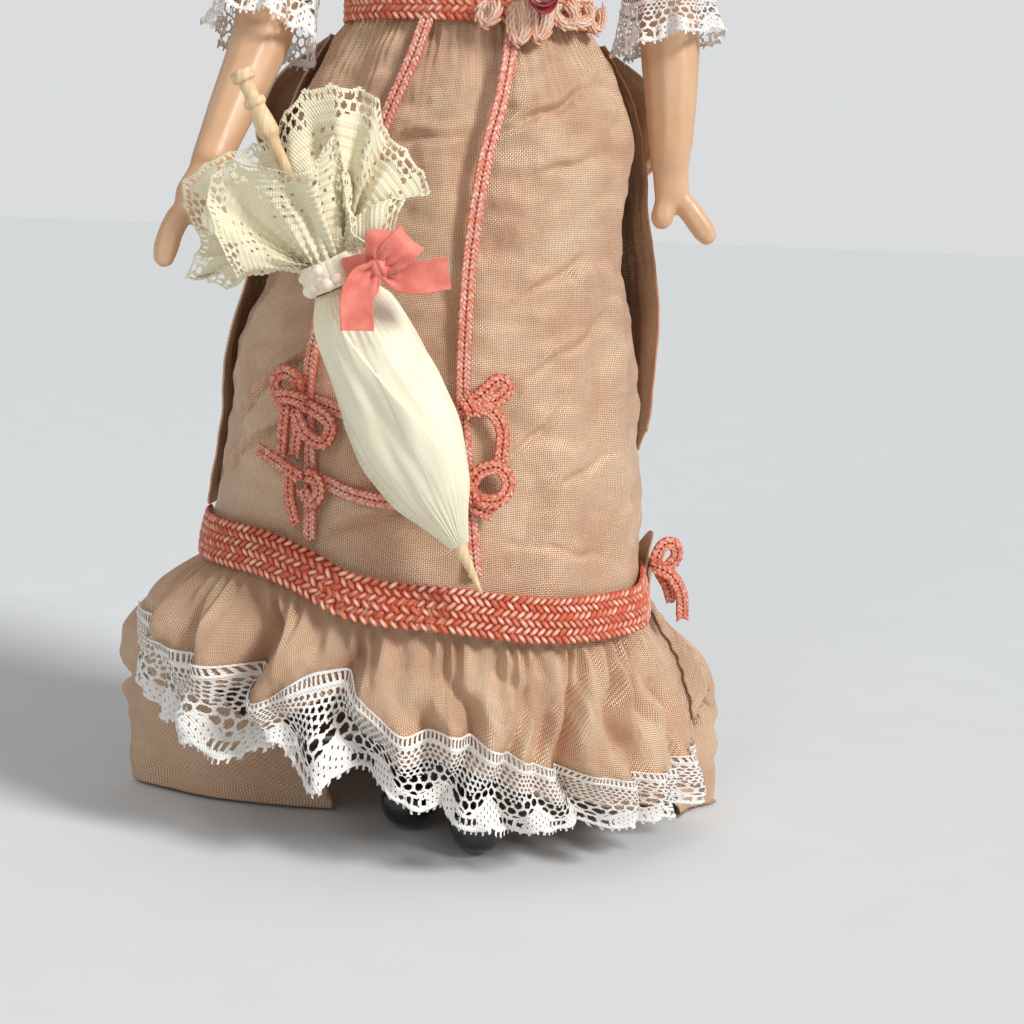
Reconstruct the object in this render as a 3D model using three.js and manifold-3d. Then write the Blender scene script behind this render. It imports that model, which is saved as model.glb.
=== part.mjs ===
import * as THREE from 'three';
import { mergeVertices } from 'three/addons/utils/BufferGeometryUtils.js';
import Module from 'manifold-3d';

// A dressed miniature lady with a parasol, in millimetres, one twelfth of life size.
// Z is up, the lady faces -Y and her left side lies at +X. Angles round her are
// measured in degrees from the front, towards her left.

// General sizes
const GAP = 0.3;
const CLOTH = 0.8;
const LACE = 0.5;
const CORD = { width: 1.5, thick: 0.9 };
const BRAID = { width: 4.8, thick: 1, reach: 97 };
const WIRE_RADIUS = 0.45;
const WIRE_BEND = 1;

// Middle of the whole figure's box, seen from above
const BOX_CENTRE = { x: -3.05, y: 0.7 };

// Heights
const WAIST_Z = 89;
const SHOULDER_Z = 119;
const HIP_Z = 71;
const PLATE_Z = 123;
const NECK_Z = 130;
const HEAD_Z = 141;
const KNEE_Z = 33;
const PUFF_Z = 72;

// Stuffed torso: half widths and depths as [height, size]
const TONGUE_HALF = 1;
const THIGH_ROOM = 4.9;
const BODY_BOTTOM = HIP_Z - 3;
const BODY_SIDE = [[66, 8], [74, 12.4], [80, 13], [WAIST_Z, 10.8], [93, 10.8], [104, 12.4], [112, 13.1], [SHOULDER_Z, 13.1],
  [PLATE_Z, 12.4], [125, 9.6], [127.5, 4.6], [NECK_Z, 3.2]];
const BODY_FRONT = [[66, 5], [74, 7.6], [80, 8], [WAIST_Z, 7.6], [93, 7.6], [106, 9.4], [112, 8.6], [SHOULDER_Z, 6.4],
  [PLATE_Z, 5.2], [125, 4.6], [127.5, 3.8], [NECK_Z, 3.2]];
const BODY_BACK = [[66, 5], [74, 8.6], [80, 8.8], [WAIST_Z, 7.6], [93, 7.2], [110, 7], [SHOULDER_Z, 6.4], [PLATE_Z, 5.4],
  [125, 4.8], [127.5, 3.8], [NECK_Z, 3.2]];

// How square the torso is seen from above, as [height, power of an oval]
const BODY_SQUARE = [[100, 1], [112, 0.76], [PLATE_Z, 0.76], [127.5, 1]];

// Head, hair and collar
const HEAD_HALF = { x: 7.2, y: 8.4, z: 9.6 };
const HAIR = { thick: 1.4, crownHole: 9 };
const HAIRLINE = [[0, 56], [30, 62], [60, 84], [85, 100], [120, 112], [180, 122]];
const BUN = { y: 3.4, rise: 10.4, wide: 5, high: 3.2 };
const COLLAR = { bottom: NECK_Z - 1.1, height: 2.3, radius: 4.4, waves: 9 };

// Arms, each point measured from the shoulder pivot, and hands measured from the wrist
const SHOULDER_X = 17.6;
const ARM = { clothLength: 22, clothRadius: 3.7, elbow: 3.1, calf: 3.35, wrist: 2.2 };
const LEFT_ARM = [[0, 0, 0], [1.4, 0.8, -9], [3, 1.4, -21], [4, 0.2, -32], [4.4, -1, -40], [4.5, -1.6, -45.5]];
const RIGHT_ARM = [[0, 0, 0], [-1, 1, -9], [-2.2, 1.2, -21], [-3.8, -3, -33], [-6.6, -7.6, -41.5], [-8.4, -10.8, -47]];
const LEFT_HAND = {
  palm: [[0, 0, 1.5], [0.3, -0.2, -2], [0.8, -0.3, -3.9]],
  thumb: [[-0.2, -0.2, -2.3], [-0.6, -0.6, -4.7], [-0.8, -1, -6.1]],
  fingers: [[0.9, -0.2, -2.1], [3.1, -0.4, -4.9], [5.1, -0.4, -7.4]],
};
const RIGHT_HAND = {
  palm: [[0.4, 0.6, 1], [-1, -1.2, -2.6], [-2, -2.1, -4.6]],
  thumb: [[-0.9, -1.2, -2.8], [-0.1, -2.2, -5], [0.2, -2.6, -6.4]],
  fingers: [[-1.8, -1.8, -3.4], [-3.4, -2.3, -6.6], [-4.2, -2.5, -10.1]],
};
const HAND = { palm: 2.25, palmThick: 1.5, finger: 1.35, fingerThick: 1.25 };

// Sleeves with coral trim and lace cuffs
const ARMHOLE_RADIUS = 4.6;
const BODICE = { top: NECK_Z - 2.4, armholeX: 8, ease: 0.5 };
const SLEEVE = { innerX: 14.75, length: 27, top: 5.2, middle: 4.7, end: 5 };
const SLEEVE_TRIM = { width: 1.6, thick: 0.6, above: 2.2 };
const CUFF = { length: 7.4, top: 4.9, end: 5.5, waves: 7, wave: 0.6 };

// Legs with a stuffed thigh, and shin and shoe in one casting
const HIP_X = 5.8;
const FOOT_X = 3.3;
const THIGH_RADIUS = 4.3;
const SHIN_RADIUS = 2.9;
const LEFT_FOOT_Y = -6.2;
const RIGHT_FOOT_Y = 1;
const SHOE = { heelY: 6.4, toeY: -8.4, high: 2.6, wide: 2.85, waist: 0.8 };
const HEEL = { front: 2.4, back: 5.6, half: 1.7, high: 2 };
const SOLE = { front: -7, back: -1, half: 2, high: 1 };

// Skirt: half widths and depths as [height, size]
const SKIRT_LEFT = [[0, 23], [26, 21.6], [43, 20.6], [54, 19.6], [65, 17.6], [76, 18], [82, 16.2], [WAIST_Z, 11.9]];
const SKIRT_RIGHT = [[0, 29], [26, 27.6], [38, 26], [46, 24.8], [52, 24.2], [57, 22.6], [61, 20.3], [66, 19.2], [76, 18],
  [82, 16], [WAIST_Z, 11.9]];
const SKIRT_FRONT = [[0, 19], [26, 16.5], [45, 15], [65, 13.5], [80, 11.5], [WAIST_Z, 8.7]];
const SKIRT_BACK = [[0, 22], [30, 19], [45, 17], [65, 15], [80, 12.5], [WAIST_Z, 8.7]];

// Middle line of the hem braid, as [angle, height]
const BRAID_LINE = [[-180, 31], [-90, 32.8], [-50, 32.8], [-34, 31.4], [-22, 29.3], [0, 28.4], [32, 27], [73, 27.3], [180, 31]];

// Belt, gimp and rose at the waist
const BELT = { above: 1.6, width: 3, thick: 0.9 };
const GIMP = { from: 10, to: 70, drop: 0.8, beads: 8, wide: 1.25, high: 1.5 };
const ROSE = { angle: 27, rise: 1.4, radius: 1.9, petals: 5 };

// Flares below the braid, as [drop, distance out from the line of the skirt]
const FLOUNCE_LEFT = [[0, 0], [3, 1], [8, 2.8], [16, 4.8], [26, 5.2]];
const FLOUNCE_RIGHT = [[0, 0.2], [3.4, 4], [7.4, 5.5], [16, 3.7], [24, 1.8]];
const FLOUNCE_FRONT = [[0, 0], [4, 0.9], [10, 1.8], [24, 2.4]];
const TRAIN_LEFT = [[0, 0], [3, 3], [8, 8], [16, 9.8], [26, 10.2]];
const TRAIN_RIGHT = [[0, 0.2], [2, 4.6], [5.5, 9.6], [11, 13.2], [17, 13.5], [24.5, 11.8], [31, 11]];
const TRAIN_BACK = [[0, 0.2], [10, 4.6], [29, 8.4]];

// Front flounce: hem lines as [angle, height], and fold valleys as [angle, depth, half width]
const FRONT_REACH = 91.6;
const FLOUNCE = { columns: 50, rows: 4 };
const LACE_HEADING = [[-90, 24], [-62, 21.8], [-44, 20], [-41, 17.6], [-25, 21.6], [-9, 15.9], [0, 16.3], [25, 12.3],
  [54, 9.9], [90, 10.3]];
const LACE_EDGE = [[-90, 14.4], [-53, 10.2], [-45, 10.2], [-37, 13.3], [-26, 8.2], [-19, 10.8], [-8, 8.2], [10, 4.6],
  [55, 2.2], [90, 2.8]];
const SILK_BELOW_HEADING = 3.6;
const FLOUNCE_VALLEYS = [[-77, 1.2, 5], [-46, 4.2, 6], [-19, 2.4, 5], [2, 1.2, 4], [16, 1.1, 4], [34, 2.2, 4],
  [50, 1.2, 4], [68, 1.6, 5]];

// Train flounce and the overskirt drape and bustle puff, each with free side edges
const TRAIN = { from: 92.4, full: 101, folds: 26, foldDepth: 1.2, columns: 44, rows: 4 };
const TRAIN_TUCK = { angle: -122, depth: 19, half: 14 };
const DRAPE = { from: 94, top: 86.6, folds: 9, foldDepth: 0.5 };
const DRAPE_HEM = [[-180, 40.6], [-94, 38.4], [94, 43], [180, 40.6]];
const DRAPE_LEFT = [[38, 0], [45, 0], [49, 0.4], [55, 1.4], [60, 2.1], [64, 2.2], [69, 1.3], [76, 0.3], [87, 0.3]];
const DRAPE_RIGHT = [[38, 0], [45, 0.2], [50, 0.5], [57, 1.4], [60, 2.6], [66, 2.6], [74, 1.2], [80, 0.4], [87, 0.3]];
const DRAPE_BACK = [[38, 2.4], [60, 2], [80, 1.4], [87, 0.4]];
const PUFF = { from: 112, top: 86.6, folds: 17, foldDepth: 0.6 };
const PUFF_FLARE = [[PUFF_Z, 0], [76, 4], [82, 4.6], [87, -0.3]];

// Cords sewn on the skirt, as [across, height], and the heights of the cross cords' ends
const CENTRE_CORD = [[4, 84.6], [3.3, 79.9], [2.1, 74.9], [1.1, 68], [0.6, 61], [0.6, 48], [1.7, 37.7], [2.4, 31.5]];
const SIDE_CORD = [[-4.6, 86.4], [-5.4, 84], [-7.9, 78], [-11.8, 66], [-14.5, 54.6], [-15.1, 49], [-14.7, 43.9], [-14.6, 34.6]];
const CROSS_UPPER = { side: 48.9, centre: 48.6, sag: 1.2 };
const CROSS_LOWER = { side: 41, centre: 40.2, sag: 1.4 };

// Bows of the same cord: strands leave the knot, as [across, up, lift]
const BOWS = {
  bow_side_upper: {
    knot: [-16.2, 48.6],
    strands: [
      [[-1.9, 1.4, 0.2], [-1.6, 3, 0.3], [0.2, 3.1, 0.3], [0.3, 1, 0.4]],
      [[2.2, -0.4, 0.2], [4, -1.8, 0.2], [3, -3.1, 0.2], [0.8, -1.4, 0.4]],
      [[-1, -2, 0.1], [-1.4, -4.6, 0]],
    ],
  },
  bow_side_lower: {
    knot: [-16.3, 40.9],
    strands: [
      [[-2, 0.9, 0.1], [-4, 1.9, 0]],
      [[0.3, -2.2, 0.1], [0.9, -4.2, 0]],
      [[1.9, -0.6, 0.2], [3, -1.6, 0.2], [2.2, -2.6, 0.1], [0.8, -1, 0.4]],
    ],
  },
  bow_centre_upper: {
    knot: [1.2, 49.7],
    strands: [
      [[1.2, 1.8, 0.2], [3, 3.4, 0.3], [2.6, 1.6, 0.3], [0.8, 0.3, 0.4]],
      [[2.4, 0.2, 0.1], [4.3, -2, 0.1], [4.3, -4.8, 0]],
    ],
  },
  bow_centre_lower: {
    knot: [1.8, 40.6],
    strands: [
      [[1.6, 1.5, 0.2], [3.8, 1.4, 0.2], [3.6, -0.2, 0.2], [1.2, -0.4, 0.4]],
      [[1.8, -1.4, 0.1], [3.2, -1.9, 0]],
    ],
  },
};
const SIDE_BOW = { angle: BRAID.reach - 5, z: 30.4, out: 2 };

// Parasol, measured from its tip along the stick
const PARASOL_TIP = [3.1, -20.2, 30.8];
const PARASOL_KNOB = [-21.6, -22.4, 81.2];
const STICK_RADIUS = 0.8;
const CANOPY = { start: 5.4, end: 34, flat: 0.74, folds: 5, foldDepth: 0.1 };
const CANOPY_RADIUS = [[5.4, 0.95], [8, 2.1], [12, 4.1], [18, 5.4], [24, 5.1], [31, 4.2], [34, 2.6]];
const BAND = { length: 2.6, radius: 2.9, edge: 2.5 };
const RUFFLE = { reach: 15.5, root: 1.9, flareMiddle: 20, flareSide: 72, front: 0.6, back: 0.32, open: 3, folds: 9,
  fold: 1.2, columns: 48 };
const RIBBON = { width: 3.2, thick: 0.5, x: 4.6, y: -4.4, knot: 1.4 };

const wasm = await Module();
wasm.setup();

function V(x, y, z) {
  return new THREE.Vector3(x, y, z);
}

function sinDeg(angle) {
  return Math.sin(THREE.MathUtils.degToRad(angle));
}

function cosDeg(angle) {
  return Math.cos(THREE.MathUtils.degToRad(angle));
}

// A smooth value through [place, value] knots, which holds its end values outside them
function along(knots) {
  const sorted = [...knots].sort((a, b) => a[0] - b[0]);
  const last = sorted.length - 1;
  const slope = sorted.map((_, i) => {
    const before = sorted[Math.max(i - 1, 0)];
    const after = sorted[Math.min(i + 1, last)];
    return (after[1] - before[1]) / (after[0] - before[0]);
  });
  return (place) => {
    const p = Math.min(Math.max(place, sorted[0][0]), sorted[last][0]);
    let i = 0;
    while (i < last - 1 && p > sorted[i + 1][0]) i += 1;
    const span = sorted[i + 1][0] - sorted[i][0];
    const t = (p - sorted[i][0]) / span;
    const start = (2 * t ** 3 - 3 * t ** 2 + 1) * sorted[i][1] + (t ** 3 - 2 * t ** 2 + t) * span * slope[i];
    return start + (3 * t ** 2 - 2 * t ** 3) * sorted[i + 1][1] + (t ** 3 - t ** 2) * span * slope[i + 1];
  };
}

// A closed geometry from points and triangles, turned to face outwards
function closedGeometry(points, triangles) {
  let volume = 0;
  for (const [a, b, c] of triangles) {
    volume += points[a].dot(points[b].clone().cross(points[c]));
  }
  const index = volume < 0 ? triangles.map(([a, b, c]) => [a, c, b]) : triangles;
  const geometry = new THREE.BufferGeometry();
  geometry.setAttribute('position', new THREE.Float32BufferAttribute(points.flatMap((p) => p.toArray()), 3));
  geometry.setIndex(index.flat());
  return geometry;
}

// The same surface, a function of (u round, v down), moved out along its own normal
function offset(surface, distance) {
  const step = 0.002;
  return (u, v) => {
    const round = surface(u + step, v).sub(surface(u - step, v));
    const down = surface(u, v + step).sub(surface(u, v - step));
    return surface(u, v).addScaledVector(down.cross(round).normalize(), distance);
  };
}

// Cloth, lace or braid between an outer and an inner surface, closed round its free edges
function sheet(outer, inner, across, down, ring = false) {
  const columns = ring ? across : across + 1;
  const points = [];
  for (const side of [outer, inner]) {
    for (let j = 0; j <= down; j += 1) {
      for (let i = 0; i < columns; i += 1) {
        points.push(side(i / across, j / down));
      }
    }
  }
  const layer = columns * (down + 1);
  const at = (side, i, j) => side * layer + j * columns + (i % columns);
  const triangles = [];
  const quad = (a, b, c, d) => triangles.push([a, b, c], [a, c, d]);
  for (let i = 0; i < across; i += 1) {
    for (let j = 0; j < down; j += 1) {
      quad(at(0, i, j), at(0, i, j + 1), at(0, i + 1, j + 1), at(0, i + 1, j));
      quad(at(1, i, j), at(1, i + 1, j), at(1, i + 1, j + 1), at(1, i, j + 1));
    }
    quad(at(0, i, 0), at(0, i + 1, 0), at(1, i + 1, 0), at(1, i, 0));
    quad(at(0, i, down), at(1, i, down), at(1, i + 1, down), at(0, i + 1, down));
  }
  for (let j = 0; j < down && !ring; j += 1) {
    quad(at(0, 0, j), at(1, 0, j), at(1, 0, j + 1), at(0, 0, j + 1));
    quad(at(0, across, j), at(0, across, j + 1), at(1, across, j + 1), at(1, across, j));
  }
  return closedGeometry(points, triangles);
}

// A sheet of even thickness, measured inwards from its outer surface
function evenSheet(surface, thickness, across, down, ring = false) {
  return sheet(surface, offset(surface, -thickness), across, down, ring);
}

// A closed solid through rings of points, with a point at each end
function loft(start, rings, end) {
  const sides = rings[0].length;
  const points = [start, ...rings.flat(), end];
  const last = points.length - 1;
  const at = (k, i) => 1 + k * sides + (i % sides);
  const triangles = [];
  for (let i = 0; i < sides; i += 1) {
    triangles.push([0, at(0, i + 1), at(0, i)]);
    triangles.push([last, at(rings.length - 1, i), at(rings.length - 1, i + 1)]);
    for (let k = 0; k < rings.length - 1; k += 1) {
      triangles.push([at(k, i), at(k, i + 1), at(k + 1, i + 1)], [at(k, i), at(k + 1, i + 1), at(k + 1, i)]);
    }
  }
  return closedGeometry(points, triangles);
}

function smoothPath(points) {
  return new THREE.CatmullRomCurve3(points, false, 'centripetal');
}

// The curve's frame at a share of its length, with its side turned as near `aside` as it goes
function frameAt(curve, t, aside) {
  const tangent = curve.getTangentAt(t);
  const side = aside.clone().addScaledVector(tangent, -aside.dot(tangent)).normalize();
  return { tangent, side, front: tangent.clone().cross(side), centre: curve.getPointAt(t) };
}

// The share of a falling curve's length at which it passes a height
function shareAt(curve, z) {
  let low = 0;
  let high = 1;
  for (let i = 0; i < 40; i += 1) {
    const middle = (low + high) / 2;
    if (curve.getPointAt(middle).z > z) low = middle;
    else high = middle;
  }
  return low;
}

// An oval section carried along a path. Width lies along `aside`; sizes are half sizes
// and may be functions of the length from the start. Round ends shrink to a point, and
// on a falling path `between` gives the heights that the piece runs between.
function sweep(path, { steps, sides, width, depth = width, aside = V(1, 0, 0), round = [true, true], between }) {
  const curve = smoothPath(path);
  const span = between ? between.map((z) => shareAt(curve, z)) : [0, 1];
  const length = curve.getLength() * (span[1] - span[0]);
  const size = (value, s) => (typeof value === 'function' ? value(s) : value);
  const shrink = (s, half) => {
    const fromStart = round[0] ? Math.min(s / half, 1) : 1;
    const fromEnd = round[1] ? Math.min((length - s) / half, 1) : 1;
    return Math.sqrt((1 - (1 - fromStart) ** 2) * (1 - (1 - fromEnd) ** 2));
  };
  const rings = [];
  for (let k = round[0] ? 1 : 0; k <= (round[1] ? steps - 1 : steps); k += 1) {
    const t = round[0] || round[1] ? (1 - Math.cos((Math.PI * k) / steps)) / 2 : k / steps;
    const { side, front, centre } = frameAt(curve, span[0] + (span[1] - span[0]) * t, aside);
    const a = size(width, t * length);
    const b = size(depth, t * length);
    const factor = shrink(t * length, Math.max(a, b));
    rings.push(Array.from({ length: sides }, (_, i) => centre.clone()
      .addScaledVector(side, a * factor * cosDeg((360 * i) / sides))
      .addScaledVector(front, b * factor * sinDeg((360 * i) / sides))));
  }
  return loft(curve.getPointAt(span[0]), rings, curve.getPointAt(span[1]));
}

function toSolid(geometry) {
  const bare = geometry.clone();
  bare.deleteAttribute('normal');
  bare.deleteAttribute('uv');
  const merged = mergeVertices(bare, 1e-5);
  const vertProperties = new Float32Array(merged.attributes.position.array);
  const triVerts = new Uint32Array(merged.index.array);
  return new wasm.Manifold(new wasm.Mesh({ numProp: 3, vertProperties, triVerts }));
}

function toGeometry(solid) {
  const mesh = solid.getMesh();
  const geometry = new THREE.BufferGeometry();
  geometry.setAttribute('position', new THREE.BufferAttribute(new Float32Array(mesh.vertProperties), 3));
  geometry.setIndex(new THREE.BufferAttribute(new Uint32Array(mesh.triVerts), 1));
  return geometry;
}

function join(first, ...others) {
  return toGeometry(others.reduce((solid, other) => solid.add(toSolid(other)), toSolid(first)));
}

function cut(first, ...others) {
  return toGeometry(others.reduce((solid, other) => solid.subtract(toSolid(other)), toSolid(first)));
}

function box(low, high) {
  const size = high.clone().sub(low);
  const middle = low.clone().add(high).multiplyScalar(0.5);
  return new THREE.BoxGeometry(size.x, size.y, size.z).translate(middle.x, middle.y, middle.z);
}

// A round bar along X
function barX(fromX, toX, radius, z, sides) {
  const bar = new THREE.CylinderGeometry(radius, radius, Math.abs(toX - fromX), sides);
  return bar.rotateZ(Math.PI / 2).translate((fromX + toX) / 2, 0, z);
}

function ball(radius, at, [wide, deep, high] = [1, 1, 1], sides = 8) {
  return new THREE.SphereGeometry(radius, sides, Math.ceil(sides * 0.6)).scale(wide, deep, high).translate(at.x, at.y, at.z);
}

function matte(color, roughness = 0.9) {
  return new THREE.MeshStandardMaterial({ color, roughness, metalness: 0 });
}

const SILK = matte(0xd9ac84, 0.55);
const CORAL = matte(0xe2806a, 0.5);
const WHITE_LACE = matte(0xf4efe6);
const CREAM = matte(0xf3ecc6, 0.7);
const PORCELAIN = matte(0xe3b58d, 0.3);
const BROWN_HAIR = matte(0x6b3f22, 0.6);
const MUSLIN = matte(0xeadfca);
const STEEL = new THREE.MeshStandardMaterial({ color: 0x9a9a9a, roughness: 0.4, metalness: 1 });
const RED = matte(0x9c1f35, 0.5);
const WOOD = matte(0xdcbd92, 0.6);

const doll = new THREE.Group();
doll.position.set(-BOX_CENTRE.x, -BOX_CENTRE.y, 0);

function part(name, geometry, material, parent = doll) {
  const mesh = new THREE.Mesh(geometry, material);
  mesh.name = name;
  parent.add(mesh);
}

// The body's outline, shared by the torso, the shoulder plate and the bodice

const bodySide = along(BODY_SIDE);
const bodyFront = along(BODY_FRONT);
const bodyBack = along(BODY_BACK);
const bodySquare = along(BODY_SQUARE);

function bodyPoint(angle, z) {
  const depth = cosDeg(angle) > 0 ? bodyFront(z) : bodyBack(z);
  const squared = (value) => Math.sign(value) * Math.abs(value) ** bodySquare(z);
  return V(bodySide(z) * squared(sinDeg(angle)), -depth * squared(cosDeg(angle)), z);
}

function bodySlice(fromZ, toZ, steps, sides) {
  const rings = [];
  for (let k = 0; k <= steps; k += 1) {
    const z = fromZ + ((toZ - fromZ) * k) / steps;
    rings.push(Array.from({ length: sides }, (_, i) => bodyPoint((360 * i) / sides, z)));
  }
  return loft(V(0, 0, fromZ), rings, V(0, 0, toZ));
}

// Limb wires pivot along X in the body and run down inside a limb
function wirePath(innerX, pivotX, pivotZ, down) {
  const sign = Math.sign(pivotX);
  const straight = [innerX, Math.abs(pivotX) - WIRE_BEND - 2, Math.abs(pivotX) - WIRE_BEND];
  return [...straight.map((x) => V(sign * x, 0, pivotZ)), ...down];
}

function wireGeometry(path, radius) {
  return sweep(path, { steps: 12, sides: 6, width: radius, aside: V(0, 1, 0), round: [false, false] });
}

function wireBore(path) {
  return wireGeometry(path, WIRE_RADIUS + GAP);
}

// Arms

// An arm's path starts above the pivot, at the top of its sleeve
function armPath(sign, route) {
  const pivot = V(sign * SHOULDER_X, 0, SHOULDER_Z);
  const top = pivot.clone().add(V(0, 0, SLEEVE.top));
  return [top, ...route.map(([x, y, z]) => pivot.clone().add(V(x, y, z)))];
}

function upperArm(arm, wire) {
  const between = [SHOULDER_Z + ARM.clothRadius, SHOULDER_Z - ARM.clothLength];
  const width = (s) => ARM.clothRadius - 0.03 * s;
  return cut(sweep(arm, { steps: 8, sides: 10, width, round: [true, false], between }), wireBore(wire));
}

function forearm(arm, hand, wire) {
  const wrist = arm[arm.length - 1];
  const between = [SHOULDER_Z - ARM.clothLength - GAP, wrist.z];
  const length = between[0] - between[1];
  const width = along([[0, ARM.elbow], [length * 0.35, ARM.calf], [length * 0.6, 3], [length, ARM.wrist]]);
  const shaft = sweep(arm, { steps: 8, sides: 10, width, round: [false, false], between });
  const fromWrist = (route) => route.map(([x, y, z]) => wrist.clone().add(V(x, y, z)));
  const palm = sweep(fromWrist(hand.palm), { steps: 5, sides: 8, width: HAND.palm, depth: HAND.palmThick });
  const lobes = [hand.thumb, hand.fingers].map((lobe) => sweep(fromWrist(lobe), {
    steps: 6, sides: 6, width: HAND.finger, depth: HAND.fingerThick,
  }));
  return cut(join(shaft, palm, ...lobes), wireBore(wire));
}

// Sleeves are shells over the upper arm, open at the armhole and the cuff
function sleeveTube(arm, grow, length) {
  const between = [SHOULDER_Z + SLEEVE.top + grow, SHOULDER_Z - length];
  const radius = along([[0, SLEEVE.top], [length * 0.5, SLEEVE.top], [length * 0.85, SLEEVE.middle], [length * 1.15, SLEEVE.end]]);
  return sweep(arm, { steps: 7, sides: 12, width: (s) => radius(s) + grow, round: [true, false], between });
}

function sleeve(sign, arm) {
  const armhole = sign > 0 ? box(V(-40, -30, 80), V(SLEEVE.innerX, 30, 140)) : box(V(-SLEEVE.innerX, -30, 80), V(40, 30, 140));
  const inside = sleeveTube(arm, -CLOTH, SLEEVE.length + 4);
  return cut(sleeveTube(arm, 0, SLEEVE.length), inside, armhole);
}

// A ring of trim or lace round the arm, square to it and gathered into waves
function armRing(arm, fromDrop, { length, top, end, waves, wave }) {
  const curve = smoothPath(arm);
  const start = shareAt(curve, SHOULDER_Z - fromDrop);
  return (u, v) => {
    const { side, front, centre } = frameAt(curve, start + (length * v) / curve.getLength(), V(1, 0, 0));
    const radius = top + (end - top) * v + wave * v * sinDeg(waves * 360 * u);
    return centre.addScaledVector(side, radius * sinDeg(360 * u)).addScaledVector(front, radius * cosDeg(360 * u));
  };
}

function buildArm(name, sign, route, hand) {
  const arm = armPath(sign, route);
  const wire = wirePath(2, sign * SHOULDER_X, SHOULDER_Z, [arm[2], arm[3], arm[3].clone().lerp(arm[4], 0.45)]);
  const trimRadius = SLEEVE.end + GAP + SLEEVE_TRIM.thick + 0.2;
  const trim = { length: SLEEVE_TRIM.width, top: trimRadius, end: trimRadius, waves: 0, wave: 0 };
  part(`${name}_arm_wire`, wireGeometry(wire, WIRE_RADIUS), STEEL);
  part(`${name}_upper_arm`, upperArm(arm, wire), MUSLIN);
  part(`${name}_forearm`, forearm(arm, hand, wire), PORCELAIN);
  part(`${name}_sleeve`, sleeve(sign, arm), SILK);
  part(`${name}_sleeve_trim`, evenSheet(armRing(arm, SLEEVE.length - SLEEVE_TRIM.above, trim), SLEEVE_TRIM.thick, 16, 1, true), CORAL);
  part(`${name}_cuff_lace`, evenSheet(armRing(arm, SLEEVE.length + GAP, CUFF), LACE, 28, 1, true), WHITE_LACE);
  return wire;
}

// Legs: a stuffed thigh on a wire, and one casting for shin and shoe
function buildLeg(name, sign, footY) {
  const leg = [V(sign * HIP_X, 0, HIP_Z + THIGH_RADIUS), V(sign * HIP_X, 0, HIP_Z), V(sign * 5, footY * 0.25, 52),
    V(sign * 4.2, footY * 0.55, KNEE_Z), V(sign * 3.6, footY * 0.9, 14), V(sign * FOOT_X, footY + 1.4, 2)];
  const wire = wirePath(GAP, sign * HIP_X, HIP_Z, [leg[2], leg[3], leg[3].clone().lerp(leg[4], 0.25)]);
  const thigh = sweep(leg, {
    steps: 7, sides: 10, width: (s) => THIGH_RADIUS - 0.03 * s, round: [true, false], between: [HIP_Z + THIGH_RADIUS, KNEE_Z],
  });
  const shin = sweep(leg, {
    steps: 7, sides: 10, width: (s) => SHIN_RADIUS - 0.035 * s, round: [false, true], between: [KNEE_Z - GAP, 2.4],
  });
  const at = (x, y, z) => V(sign * FOOT_X + x, footY + y, z);
  const shoe = sweep([at(0, SHOE.heelY, SHOE.high), at(0, 2, SHOE.high), at(0, SHOE.toeY, SHOE.high - 0.2)], {
    steps: 7, sides: 10, depth: SHOE.wide,
    width: (s) => SHOE.wide * (SHOE.waist + ((1 - SHOE.waist) * s) / (SHOE.heelY - SHOE.toeY)),
  });
  const heel = box(at(-HEEL.half, HEEL.front, 0), at(HEEL.half, HEEL.back, HEEL.high));
  const sole = box(at(-SOLE.half, SOLE.front, 0), at(SOLE.half, SOLE.back, SOLE.high));
  const floor = box(V(-20, -40, -6), V(20, 40, 0));
  part(`${name}_leg_wire`, wireGeometry(wire, WIRE_RADIUS), STEEL);
  part(`${name}_thigh`, cut(thigh, wireBore(wire)), MUSLIN);
  part(`${name}_shin_shoe`, cut(join(shin, shoe, heel, sole), floor, wireBore(wire)), PORCELAIN);
  return wire;
}

const wires = [
  buildArm('left', 1, LEFT_ARM, LEFT_HAND),
  buildArm('right', -1, RIGHT_ARM, RIGHT_HAND),
  buildLeg('left', 1, LEFT_FOOT_Y),
  buildLeg('right', -1, RIGHT_FOOT_Y),
];

// The torso is hollowed over each thigh, and its middle tongue carries the leg wires
function clothTorso() {
  const rooms = [1, -1].flatMap((sign) => {
    const inner = sign * TONGUE_HALF;
    const outer = sign * 30;
    const below = box(V(Math.min(inner, outer), -20, 50), V(Math.max(inner, outer), 20, HIP_Z));
    return [barX(inner, outer, THIGH_ROOM, HIP_Z, 12), below];
  });
  return cut(bodySlice(BODY_BOTTOM, PLATE_Z, 8, 22), ...rooms, ...wires.map(wireBore));
}
part('cloth_torso', clothTorso(), MUSLIN);

// Head, neck and shoulder plate in one casting

function bump(x, up, atX, atUp, halfX, halfUp) {
  return Math.exp(-(((x - atX) / halfX) ** 2) - ((up - atUp) / halfUp) ** 2);
}

// How far the face stands out at a place measured from the middle of the head
function faceRelief(x, up) {
  const nose = 1.5 * bump(x, up, 0, -2.3, 0.95, 1.2) + 0.6 * bump(x, up, 0, -0.2, 0.8, 2);
  const lips = 0.5 * bump(x, up, 0, -5.4, 1.6, 0.8);
  const chin = 0.7 * bump(x, up, 0, -8.2, 1.8, 1.2);
  const eyes = 0.55 * (bump(x, up, 2.8, 0.3, 1.5, 1.1) + bump(x, up, -2.8, 0.3, 1.5, 1.1));
  return nose + lips + chin - eyes;
}

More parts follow.
